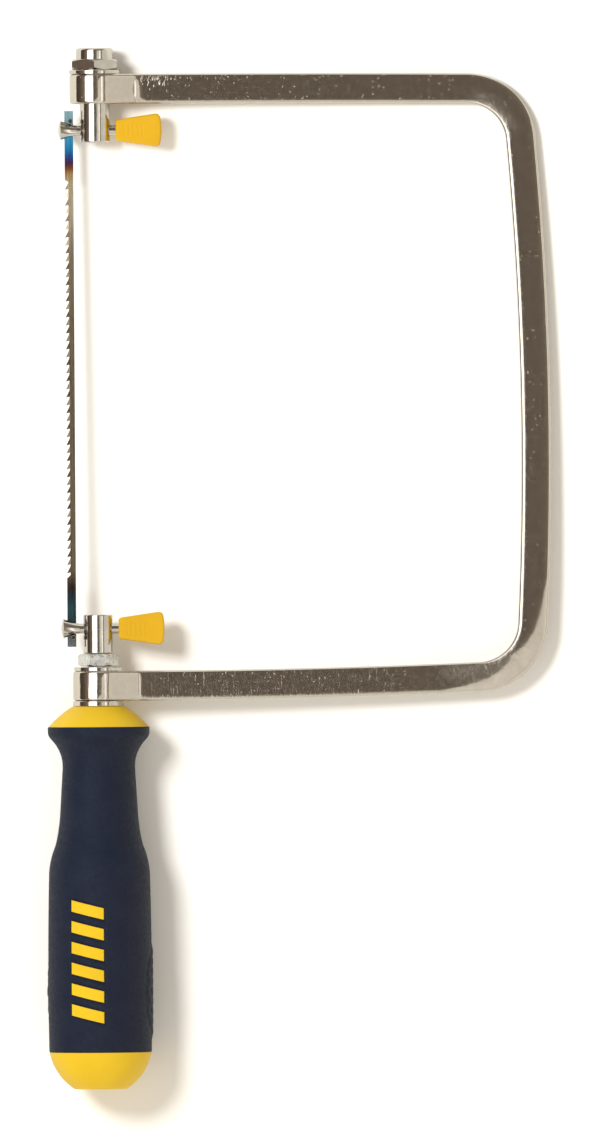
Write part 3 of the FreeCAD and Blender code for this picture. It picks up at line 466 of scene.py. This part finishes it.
def blade_material():
    """Ground spring steel, with temper colours that run in bands along each end."""
    material, tree, coordinates = start_material("blade_steel")
    place = coordinates.outputs["Object"]
    height = add_node(tree, "ShaderNodeSeparateXYZ", {"Vector": place}).outputs["Z"]
    wander = noise(tree, place, scale=500, detail=2)
    wobble = maths(tree, "MULTIPLY_ADD", wander, 2 * BLADE_WOBBLE, -BLADE_WOBBLE)
    low, high = (corner[2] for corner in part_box("saw_blade"))
    share = straight_ramp(tree, maths(tree, "ADD", height, wobble), (low, high))
    ramp = add_node(tree, "ShaderNodeValToRGB", {"Fac": share})
    elements = ramp.color_ramp.elements
    while len(elements) < len(BLADE_BANDS):
        elements.new(0.5)
    for element, (distance, colour) in zip(elements, BLADE_BANDS):
        element.position = distance * MM / (high - low)
        element.color = opaque(colour)
    scratches = noise(tree, stretch(tree, place, (3000, 3000, 60)), scale=1, detail=3)
    roughness = smooth_step(tree, scratches, (0.3, 0.7), (0.24, 0.42))
    scratched = bump(tree, scratches, 0.008 * MM)
    end_material(tree, Base_Color=ramp.outputs["Color"], Metallic=1.0, Roughness=roughness,
                 Normal=scratched)
    return material


# --- Mesh helper ----------------------------------------------------------------------------


def ring_mesh(name, rings, material, uvs=None, joined=False):
    """Tube through rings of points, either capped or with its last ring joined to its first."""
    rows, columns = rings.shape[:2]
    faces = []
    for row in range(rows if joined else rows - 1):
        here = row * columns
        there = (row + 1) % rows * columns
        for column in range(columns):
            after = (column + 1) % columns
            faces.append((here + column, here + after, there + after, there + column))
    if not joined:
        faces.append(tuple(range(columns))[::-1])
        faces.append(tuple((rows - 1) * columns + column for column in range(columns)))
    mesh = bpy.data.meshes.new(name)
    mesh.from_pydata(rings.reshape(-1, 3).tolist(), [], faces)
    if uvs is not None:
        layer = mesh.uv_layers.new(name="UVMap")
        flat = uvs.reshape(-1, 2)
        for loop in mesh.loops:
            layer.data[loop.index].uv = flat[loop.vertex_index]
    mesh.polygons.foreach_set("use_smooth", [True] * len(mesh.polygons))
    mesh.update()
    piece = bpy.data.objects.new(name, mesh)
    bpy.context.scene.collection.objects.link(piece)
    mesh.materials.append(material)
    return piece


# --- Bow ------------------------------------------------------------------------------------


def arc_points(centre, radius, first, last, step):
    """Points and headings along an arc in its own plane."""
    count = max(2, int(abs(last - first) * radius / step) + 1)
    angles = np.linspace(first, last, count)
    turn = 1 if last > first else -1
    points = np.stack([centre[0] + radius * np.cos(angles), centre[1] + radius * np.sin(angles)], axis=1)
    headings = np.stack([-turn * np.sin(angles), turn * np.cos(angles)], axis=1)
    return points, headings


def inner_tangent_centre(first, first_radius, second, second_radius, radius):
    """Centre of a small circle that touches two big ones from inside, on their +X side."""
    first, second = np.array(first), np.array(second)
    reach_one, reach_two = first_radius - radius, second_radius - radius
    gap = second - first
    length = np.linalg.norm(gap)
    along = (reach_one ** 2 - reach_two ** 2 + length ** 2) / (2 * length)
    across = math.sqrt(reach_one ** 2 - along ** 2)
    unit = gap / length
    side = np.array([-unit[1], unit[0]])
    options = [first + unit * along + side * sign * across for sign in (1, -1)]
    return max(options, key=lambda point: point[0])


def bow_line(low_z, high_z):
    """Centre line of the bow in the XZ plane: points, headings and which corner each lies on."""
    lower_arm = (ARM_START, low_z + LOWER_ARM_ROUND)
    upper_arm = (ARM_START, high_z - UPPER_ARM_ROUND)
    spine = (SPINE_REACH - SPINE_ROUND, SPINE_MIDDLE)
    lower = inner_tangent_centre(lower_arm, LOWER_ARM_ROUND, spine, SPINE_ROUND, LOWER_CORNER)
    upper = inner_tangent_centre(upper_arm, UPPER_ARM_ROUND, spine, SPINE_ROUND, UPPER_CORNER)

    def heading(centre, point):
        return math.atan2(point[1] - centre[1], point[0] - centre[0])

    turns = [-math.pi / 2, heading(lower_arm, lower), heading(spine, lower),
             heading(spine, upper), heading(upper_arm, upper), math.pi / 2]
    arcs = [
        (lower_arm, LOWER_ARM_ROUND, ARM_STEP, 0),
        (lower, LOWER_CORNER, CORNER_STEP, 1),
        (spine, SPINE_ROUND, SPINE_STEP, 0),
        (upper, UPPER_CORNER, CORNER_STEP, 2),
        (upper_arm, UPPER_ARM_ROUND, ARM_STEP, 0),
    ]
    points, headings, corners = [], [], []
    for (centre, radius, step, corner), first, last in zip(arcs, turns, turns[1:]):
        arc, direction = arc_points(centre, radius, first, last, step)
        start = 1 if points else 0
        points.append(arc[start:])
        headings.append(direction[start:])
        corners.append(np.full(len(arc) - start, corner))
    return np.concatenate(points), np.concatenate(headings), np.concatenate(corners)


def eye_line():
    """Centre line of one eye in the XY plane, from the arm to the tip of the loop."""
    loop = EYE_BORE + BAR_THICKNESS / 2
    down = np.array([-math.cos(EYE_RAMP), -math.sin(EYE_RAMP)])
    touch = np.array([math.sin(EYE_RAMP), -math.cos(EYE_RAMP)]) * loop
    corner = touch - down * (touch[1] / down[1])
    bend_start = corner + np.array([EYE_BEND * math.tan(EYE_RAMP / 2), 0])
    bend, bend_heading = arc_points(bend_start - np.array([0, EYE_BEND]), EYE_BEND, math.pi / 2,
                                    math.pi / 2 + EYE_RAMP, EYE_BEND_STEP)
    ramp = np.linspace(bend[-1], touch, RAMP_POINTS)[1:-1]
    ramp_heading = np.tile(down, (len(ramp), 1))
    wrap, wrap_heading = arc_points((0, 0), loop, -math.pi / 2 + EYE_RAMP, -2 * math.pi - EYE_SEAM, EYE_STEP)
    points = np.concatenate([bend, ramp, wrap])
    headings = np.concatenate([bend_heading, ramp_heading, wrap_heading])
    return points, headings


def bar_outline():
    """Rounded rectangle of the bar: points across its width and through its thickness."""
    centre_across, centre_through = BAR_WIDTH / 2 - BAR_EDGE, BAR_THICKNESS / 2 - BAR_EDGE
    outline = []
    for quarter, (across, through) in enumerate([(1, 1), (-1, 1), (-1, -1), (1, -1)]):
        for step in range(EDGE_STEPS + 1):
            angle = (quarter + step / EDGE_STEPS) * math.pi / 2
            outline.append((across * centre_across + BAR_EDGE * math.cos(angle),
                            through * centre_through + BAR_EDGE * math.sin(angle)))
        if quarter % 2 == 0:
            outline += wide_face_points(outline[-1])
    return np.array(outline)


def wide_face_points(start):
    """Points between the two ends of a wide face, so that the face can be shaped."""
    return [(start[0] * (1 - 2 * step / FACE_STEPS), start[1]) for step in range(1, FACE_STEPS)]


def crease_line(travelled, corners):
    """How far a crease has moved in from the bar's outer edge, 0 to 1, round the lower corner."""
    away = travelled - travelled[corners == 1].mean()
    reach = np.where(away < 0, CREASE_ARM_REACH, CREASE_SPINE_REACH)
    return np.clip(1 - np.abs(away) / reach, 0, 1) ** CREASE_BOW


def at_length(travelled, values, wanted):
    """Rows of values at the wanted lengths along the path."""
    return np.stack([np.interp(wanted, travelled, values[:, axis]) for axis in range(3)], axis=-1)


def running_length(points):
    """Length travelled along a row of points, from 0."""
    return np.concatenate([[0], np.cumsum(np.linalg.norm(np.diff(points, axis=0), axis=1))])


def bow_path(low_z, high_z):
    """The bar's whole path: points, the directions of its width and thickness, and corners."""
    eye_points, eye_headings = eye_line()
    line, headings, corners = bow_line(low_z, high_z)
    flat = np.zeros(len(line))

    def lift(points, z):
        return np.column_stack([points, np.full(len(points), z)])

    path = np.concatenate([
        lift(eye_points[::-1], low_z),
        np.column_stack([line[:, 0], flat, line[:, 1]]),
        lift(eye_points, high_z),
    ])
    forward = np.concatenate([
        lift(-eye_headings[::-1], 0),
        np.column_stack([headings[:, 0], flat, headings[:, 1]]),
        lift(eye_headings, 0),
    ])
    width = np.concatenate([
        np.tile([0, 0, 1.0], (len(eye_points), 1)),
        np.column_stack([-headings[:, 1], flat, headings[:, 0]]),
        np.tile([0, 0, -1.0], (len(eye_points), 1)),
    ])
    upper_eye = len(eye_points) + len(line)
    return path, width, np.cross(forward, width), np.pad(corners, len(eye_points)), upper_eye


def build_bow(material):
    """Bow and both eyes as one swept bar, with a crease at the lower corner and a fold above."""
    low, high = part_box("frame_bow")
    half = BAR_WIDTH / 2
    path, width, thick, corners, upper_eye = bow_path(low[2] + half, high[2] - half)
    travelled = running_length(path)
    crease = crease_line(travelled, corners)
    fold = travelled[upper_eye] + FOLD_OFFSET
    outline = bar_outline()
    across, through = outline[:, 0], outline[:, 1]
    around = running_length(outline)
    rings, uvs = [], []
    for index in range(len(path)):
        near_fold = np.clip(1 - abs(travelled[index] - fold) / FOLD_REACH, 0, 1)
        shift = FOLD_BULGE * math.sin(near_fold * math.pi / 2) ** 2 * (1 - (across / half) ** 2)
        wanted = travelled[index] + shift
        centre = at_length(travelled, path, wanted)
        out = at_length(travelled, thick, wanted)
        out /= np.linalg.norm(out, axis=1)[:, None]
        outside = np.maximum(half * (CREASE_SHARE * crease[index] - 1) - across, 0)
        drop = math.tan(CREASE_SLOPE) * outside * min(1, CREASE_FADE * crease[index])
        shaped = np.where(through > 0, through - drop, through + CREASE_BACK_SHARE * drop)
        rings.append(centre + across[:, None] * width[index] + shaped[:, None] * out)
        uvs.append(np.column_stack([np.full(len(outline), travelled[index]), around]))
    bow = ring_mesh("bow", np.array(rings), material, np.array(uvs))
    mark_wear(bow, travelled, corners, across)
    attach(bow, "frame")
    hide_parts("frame_bow")


def fade(values, start, end):
    """Smooth 0 to 1 as values go from start to end (either way round)."""
    share = np.clip((values - start) / (end - start), 0, 1)
    return share * share * (3 - 2 * share)


def corner_patch(along, start, end):
    """Mask that fades in and out at the ends of a bend."""
    fade_in = fade(along, start - PATCH_OVERLAP, start + PATCH_FADE)
    fade_out = fade(along, end + PATCH_OVERLAP, end - PATCH_FADE)
    return fade_in * fade_out


def fleck_mask(along, side, eye):
    """Flecks that thicken towards the upper eye and towards the bar's outer edge."""
    far_in, far_full = FAR_FLECKS
    near_in, near_full = NEAR_FLECKS
    far = FAR_FLECKS_STRENGTH * fade(along, eye - far_in, eye - far_full)
    near = (1 - FAR_FLECKS_STRENGTH) * fade(along, eye - near_in, eye - near_full)
    across = INNER_FLECKS_STRENGTH + (1 - INNER_FLECKS_STRENGTH) * fade(side, *FLECKS_ACROSS)
    return (far + near) * fade(along, eye + FLECKS_PAST_FLAT, eye) * across


def mark_wear(bow, travelled, corners, across):
    """Store where the bow is wrinkled, flecked, specked and mottled, from 0 for not at all."""
    along = np.repeat(travelled, len(across))
    side = np.tile(across / (BAR_WIDTH / 2), len(travelled))
    lower_start, lower_end = travelled[corners == 1][[0, -1]]
    upper_start, upper_end = travelled[corners == 2][[0, -1]]
    eye = upper_end + UPPER_FLAT_SHARE * (travelled[-1] - upper_end)
    lower_arm = fade(along, lower_end, lower_start)
    upper_arm = fade(along, upper_end, upper_end + SPECKS_PAST_CORNER)
    calm_in, calm_full = CALM_BEFORE_CORNER
    calm = (fade(along, lower_start - calm_in, lower_start - calm_full)
            * fade(along, lower_end - CALM_PAST_CORNER, lower_start))
    by_edges = MIDDLE_SPECKS_STRENGTH + (1 - MIDDLE_SPECKS_STRENGTH) * fade(np.abs(side), *EDGE_SPECKS)
    upper_patch = corner_patch(along, upper_start, upper_end) * fade(side, *UPPER_PATCH_ACROSS)
    lower_patch = (corner_patch(along, lower_start - LOWER_PATCH_START, lower_end - LOWER_PATCH_END)
                   * fade(side, *LOWER_PATCH_ACROSS))
    spine = (fade(along, lower_end, lower_end + SPINE_MOTTLE_FADE)
             * fade(along, upper_start, upper_start - SPINE_MOTTLE_FADE))
    spine_edge = spine * fade(side, *SPINE_MOTTLE_ACROSS)
    masks = {
        "wrinkled": WRINKLES_EVERYWHERE + (1 - WRINKLES_EVERYWHERE) * lower_arm * (1 - CALM_SHARE * calm),
        "flecked": fleck_mask(along, side, eye),
        "specked": (upper_arm + LOWER_SPECKS_STRENGTH * lower_arm) * by_edges,
        "mottled": UPPER_PATCH_STRENGTH * upper_patch + lower_patch + SPINE_MOTTLE_STRENGTH * spine_edge,
    }
    for name, values in masks.items():
        layer = bow.data.attributes.new(name, "FLOAT", "POINT")
        layer.data.foreach_set("value", values.astype(np.float32))


# --- Handle grip, in millimetres until its rings are built ----------------------------------


def arc_radius(start, end, radius, hollow, level):
    """Radius of the handle at a height, on an arc between two (radius, height) points."""
    start, end = np.array(start), np.array(end)
    chord = end - start
    length = np.linalg.norm(chord)
    outward = np.array([chord[1], -chord[0]]) / length
    reach = math.sqrt(radius ** 2 - length ** 2 / 4)
    centre = (start + end) / 2 + outward * (reach if hollow else -reach)
    spread = np.sqrt(np.maximum(radius ** 2 - (level - centre[1]) ** 2, 0))
    return centre[0] - spread if hollow else centre[0] + spread


def grip_radius(level):
    """Outside of the grip at each height, before its texture."""
    level = np.clip(level, GRIP_OUTSIDE[0][0][1], GRIP_OUTSIDE[-1][1][1])
    result = np.zeros_like(level)
    for start, end, radius, hollow in GRIP_OUTSIDE:
        inside = (level >= start[1]) & (level <= end[1])
        if radius is None:
            share = (level[inside] - start[1]) / (end[1] - start[1])
            result[inside] = start[0] + share * (end[0] - start[0])
        else:
            result[inside] = arc_radius(start, end, radius, hollow, level[inside])
    return result


def soften(radius, level):
    """Smooth the corners between the grip's stretches, but leave both ends sharp."""
    padded = np.pad(radius, GRIP_SMOOTHING // 2, mode="edge")
    weights = np.hanning(GRIP_SMOOTHING)
    softened = np.convolve(padded, weights / weights.sum(), mode="valid")
    from_end = np.minimum(level - level[0], level[-1] - level)
    blend = np.clip(from_end / GRIP_SHARP_ENDS, 0, 1)
    return radius * (1 - blend) + softened * blend


def scales(turn, level):
    """Height of the raised scales, on two panels towards the back of the handle."""
    total = np.zeros_like(level)
    for centre in (MOTIF_TURN + PAD_TURN, MOTIF_TURN - PAD_TURN):
        away = (turn - centre + math.pi) % (2 * math.pi) - math.pi
        across = away * PANEL_RADIUS
        panel = (across / PANEL_HALF_WIDTH) ** 2 + ((level - PANEL_MIDDLE) / PANEL_HALF_HEIGHT) ** 2
        mask = np.clip((1.0 - panel) / PANEL_EDGE, 0, 1)
        for row_offset, column_offset in ((0, 0), (SCALE_PITCH / 2, SCALE_WIDTH / 2)):
            rows_up = (level - row_offset) / SCALE_PITCH
            columns_across = (across - column_offset) / SCALE_WIDTH
            local_up = (rows_up - np.floor(rows_up)) * SCALE_PITCH
            local_across = (columns_across - np.round(columns_across)) * SCALE_WIDTH
            from_middle = local_up - SCALE_PITCH / 2
            reach = np.hypot(local_across / SCALE_HALF_WIDTH, from_middle / SCALE_HALF_HEIGHT)
            dome = np.clip(1 - reach ** 2, 0, 1) ** SCALE_ROUNDNESS
            tilt = SCALE_TOP_SHARE + (1 - SCALE_TOP_SHARE) * (1 - local_up / SCALE_PITCH)
            total = np.maximum(total, dome * tilt * mask)
    return SCALE_HEIGHT * total


def motif_recess(turn, level, radius):
    """Depth of the shallow sunk border round every bar of the motif."""
    across = np.sin(turn - MOTIF_TURN) * radius
    front = np.cos(turn - MOTIF_TURN) > 0
    deepest = np.zeros_like(level)
    half_width = MOTIF_WIDTH / MM / 2
    half_height = MOTIF_BAR_HEIGHT / MM / 2
    share = (across + half_width) / (2 * half_width)
    for bar in range(MOTIF_BARS):
        middle = (MOTIF_FOOT + bar * MOTIF_PITCH + MOTIF_SLANT * (1 - share)) / MM + half_height
        outside = np.maximum(np.abs(across) - half_width, np.abs(level - middle) - half_height)
        deepest = np.maximum(deepest, np.clip((RECESS_BORDER - outside) / RECESS_WALL, 0, 1))
    return RECESS_DEPTH * deepest * front


def build_grip(material):
    """Overmould as a closed shell: textured outside, rolled ends, plain inside."""
    low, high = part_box("handle_grip")
    foot, top = (low[2] - SEAM_COVER) / MM, (high[2] + SEAM_COVER) / MM
    level = np.linspace(foot, top, GRIP_ROWS)
    radius = soften(grip_radius(level), level)
    for distance in (level - foot, top - level):
        inside = distance < GRIP_END_EDGE
        fall = GRIP_END_EDGE - distance[inside]
        radius[inside] -= GRIP_END_EDGE - np.sqrt(GRIP_END_EDGE ** 2 - fall ** 2)
    turn = np.linspace(0, 2 * math.pi, GRIP_COLUMNS, endpoint=False)
    turns, levels = np.meshgrid(turn, level)
    plain = np.repeat(radius[:, None], GRIP_COLUMNS, axis=1)
    shaped = plain + scales(turns, levels) - motif_recess(turns, levels, plain)
    inner_levels = np.array([top, GRIP_NECK_FOOT, GRIP_BORE_TOP, foot])
    inner_radii = np.array([GRIP_NECK_BORE, GRIP_NECK_BORE, GRIP_BORE, GRIP_BORE])
    inner_turns, inner_heights = np.meshgrid(turn, inner_levels)

    def place(radii, angles, heights):
        return np.stack([radii * np.sin(angles), -radii * np.cos(angles), heights], axis=2) * MM

    rings = np.concatenate([
        place(shaped, turns, levels),
        place(inner_radii[:, None], inner_turns, inner_heights),
    ])
    grip = ring_mesh("grip", rings, material, joined=True)
    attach(grip, "handle")
    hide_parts("handle_grip")


# --- Carried-over CAD nodes -----------------------------------------------------------------


def dress(nodes, material):
    """Give CAD nodes their material."""
    for node in nodes:
        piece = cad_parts[node]
        if not piece.material_slots:
            piece.data.materials.append(material)
        for holder in piece.material_slots:
            holder.material = material


# --- Stage ----------------------------------------------------------------------------------


def build_floor():
    """Pale sheet that the saw lies on, with painted shade where metal mirrors it; it can't be seen from
    behind.
    """
    material, tree, _ = start_material("pale_sheet")
    mirrored = add_node(tree, "ShaderNodeLightPath").outputs["Is Glossy Ray"]
    # Painted shade in reflections: glossy rays see the sheet darker than the camera does.
    tone = blend_colour(tree, mirrored, SHEET, SHEET_PAINTED_DIM_IN_METAL)
    paper = add_node(tree, "ShaderNodeBsdfDiffuse", {"Color": tone}).outputs["BSDF"]
    clear = add_node(tree, "ShaderNodeBsdfTransparent").outputs["BSDF"]
    behind = add_node(tree, "ShaderNodeNewGeometry").outputs["Backfacing"]
    mixed = add_node(tree, "ShaderNodeMixShader", {0: behind, 1: paper, 2: clear}).outputs["Shader"]
    output = add_node(tree, "ShaderNodeOutputMaterial")
    tree.links.new(mixed, output.inputs["Surface"])
    corners = []
    for x, z in ((-FLOOR_SIZE, -FLOOR_SIZE), (FLOOR_SIZE, -FLOOR_SIZE),
                 (FLOOR_SIZE, FLOOR_SIZE), (-FLOOR_SIZE, FLOOR_SIZE)):
        corners.append((x, FLOOR_DEPTH - FLOOR_LEAN_Z * z - FLOOR_LEAN_X * x, z))
    mesh = bpy.data.meshes.new("floor")
    mesh.from_pydata(corners, [], [(0, 1, 2, 3)])
    mesh.materials.append(material)
    floor = bpy.data.objects.new("floor", mesh)
    bpy.context.scene.collection.objects.link(floor)


def softbox_mask(tree, azimuth, elevation):
    """1 inside the big soft box to the left of the camera."""
    sides = maths(tree, "MULTIPLY", smooth_step(tree, azimuth, SOFTBOX_LEFT),
                  smooth_step(tree, azimuth, SOFTBOX_RIGHT, FALLING))
    ends = maths(tree, "MULTIPLY", smooth_step(tree, elevation, SOFTBOX_BOTTOM),
                 smooth_step(tree, elevation, SOFTBOX_TOP, FALLING))
    return maths(tree, "MULTIPLY", sides, ends)


def mirrored_room(tree, direction, azimuth, elevation):
    """What bright metal sees: dark in front and to the left, a soft box, a pale striped wall."""
    patches = smooth_step(tree, noise(tree, direction, scale=4.0, detail=2), (0.35, 0.65))
    wall = blend_colour(tree, patches, WALL, WALL_DULL)
    for centre, fading, colour in STRIPES:
        away = maths(tree, "ABSOLUTE", maths(tree, "SUBTRACT", azimuth, centre))
        wall = blend_colour(tree, smooth_step(tree, away, fading, FALLING), wall, colour)
    front = straight_ramp(tree, azimuth, FRONT_DARK_SPAN)
    dark = blend_colour(tree, front, FRONT_DARK_LEFT, FRONT_DARK_RIGHT)
    slant = maths(tree, "SUBTRACT", maths(tree, "MULTIPLY", azimuth, WALL_AZIMUTH_SHARE),
                  maths(tree, "MULTIPLY", elevation, WALL_ELEVATION_SHARE))
    room = blend_colour(tree, smooth_step(tree, slant, WALL_START), dark, wall)
    room = blend_colour(tree, smooth_step(tree, elevation, CEILING_START), room, CEILING)
    far_left = smooth_step(tree, azimuth, SIDE_DARK_SPAN)
    deep = blend_colour(tree, far_left, SIDE_DARK_FAR, SIDE_DARK_NEAR)
    room = blend_colour(tree, smooth_step(tree, azimuth, SOFTBOX_LEFT, FALLING), room, deep)
    off_level = smooth_step(tree, maths(tree, "ABSOLUTE", elevation), SOFTBOX_DIMMING)
    softbox = blend_colour(tree, off_level, SOFTBOX_LEVEL, SOFTBOX_OFF_LEVEL)
    return blend_colour(tree, softbox_mask(tree, azimuth, elevation), room, softbox)


def build_world():
    """Soft studio: a pale backdrop for the eye, even light for matt surfaces, shapes for metal."""
    world = bpy.data.worlds.new("studio")
    bpy.context.scene.world = world
    world.use_nodes = True
    tree = world.node_tree
    tree.nodes.clear()
    direction = add_node(tree, "ShaderNodeTexCoord").outputs["Generated"]
    axes = add_node(tree, "ShaderNodeSeparateXYZ", {"Vector": direction})
    toward = maths(tree, "MULTIPLY", axes.outputs["Y"], -1.0)
    azimuth = maths(tree, "DEGREES", maths(tree, "ARCTAN2", axes.outputs["X"], toward))
    elevation = maths(tree, "DEGREES", maths(tree, "ARCSINE", axes.outputs["Z"]))
    room = mirrored_room(tree, direction, azimuth, elevation)
    height = smooth_step(tree, elevation, AMBIENT_SPAN)
    ambient = blend_colour(tree, height, AMBIENT_BELOW, AMBIENT_ABOVE)
    to_right = smooth_step(tree, axes.outputs["X"], AMBIENT_RIGHT_SPAN)
    ambient = blend_colour(tree, to_right, ambient, AMBIENT_RIGHT, "MULTIPLY")
    rays = add_node(tree, "ShaderNodeLightPath")
    seen = blend_colour(tree, rays.outputs["Is Glossy Ray"], ambient, room)
    seen = blend_colour(tree, rays.outputs["Is Camera Ray"], seen, BACKDROP)
    background = add_node(tree, "ShaderNodeBackground", {"Color": seen, "Strength": 1.0})
    output = add_node(tree, "ShaderNodeOutputWorld")
    tree.links.new(background.outputs["Background"], output.inputs["Surface"])


def aim(thing, target, roll=0.0):
    """Point a camera or light at a place."""
    direction = target - thing.location
    thing.rotation_euler = direction.to_track_quat("-Z", "Y").to_euler()
    thing.rotation_euler.rotate_axis("Z", roll)


def build_key_light(target):
    """Soft light from the upper left in front; metal doesn't show it."""
    data = bpy.data.lights.new("key", "AREA")
    data.shape = "DISK"
    data.size = KEY_SIZE
    data.energy = KEY_POWER
    data.color = KEY_COLOUR
    light = bpy.data.objects.new("key", data)
    bpy.context.scene.collection.objects.link(light)
    light.location = target + Vector(KEY_PLACE)
    light.visible_glossy = False
    aim(light, target)


def build_camera(target):
    """Distant camera square to the saw's flat side."""
    data = bpy.data.cameras.new("camera")
    data.sensor_width = SENSOR
    data.lens = SENSOR * CAMERA_DISTANCE / FRAME_HEIGHT
    camera = bpy.data.objects.new("camera", data)
    bpy.context.scene.collection.objects.link(camera)
    camera.location = target + Vector((0, -CAMERA_DISTANCE, 0))
    aim(camera, target, CAMERA_ROLL)
    bpy.context.scene.camera = camera


nickel = nickel_material("nickel_spindle", SPINDLE_NICKEL, 0.6)
dress(["upper_spindle", "upper_cross_pin", "lower_cross_pin", "lower_spindle", "lower_eye_bushing",
       "upper_lock_nut", "upper_washer", "lower_washer"], nickel)
dress(["tension_screw", "lower_jam_nut", "handle_thread_insert"], zinc_material())
dress(["lock_nut_insert"], nylon_material())
dress(["saw_blade"], blade_material())
dress(["blade_pin_upper", "blade_pin_lower"], nickel_material("pin_steel", PIN_STEEL, 1.0))
dress(["upper_knob", "lower_knob"], plastic_material("yellow_knob", KNOB_YELLOW, KNOB_YELLOW_DEEP))
dress(["handle_core"], plastic_material("yellow_core", CORE_YELLOW, CORE_YELLOW_DEEP))
build_bow(bow_material())
build_grip(rubber_material())
build_floor()
build_world()
build_camera(Vector(LOOK_AT))
build_key_light(Vector(LOOK_AT))
bpy.context.scene.view_settings.view_transform = "Standard"
bpy.context.scene.view_settings.look = "None"
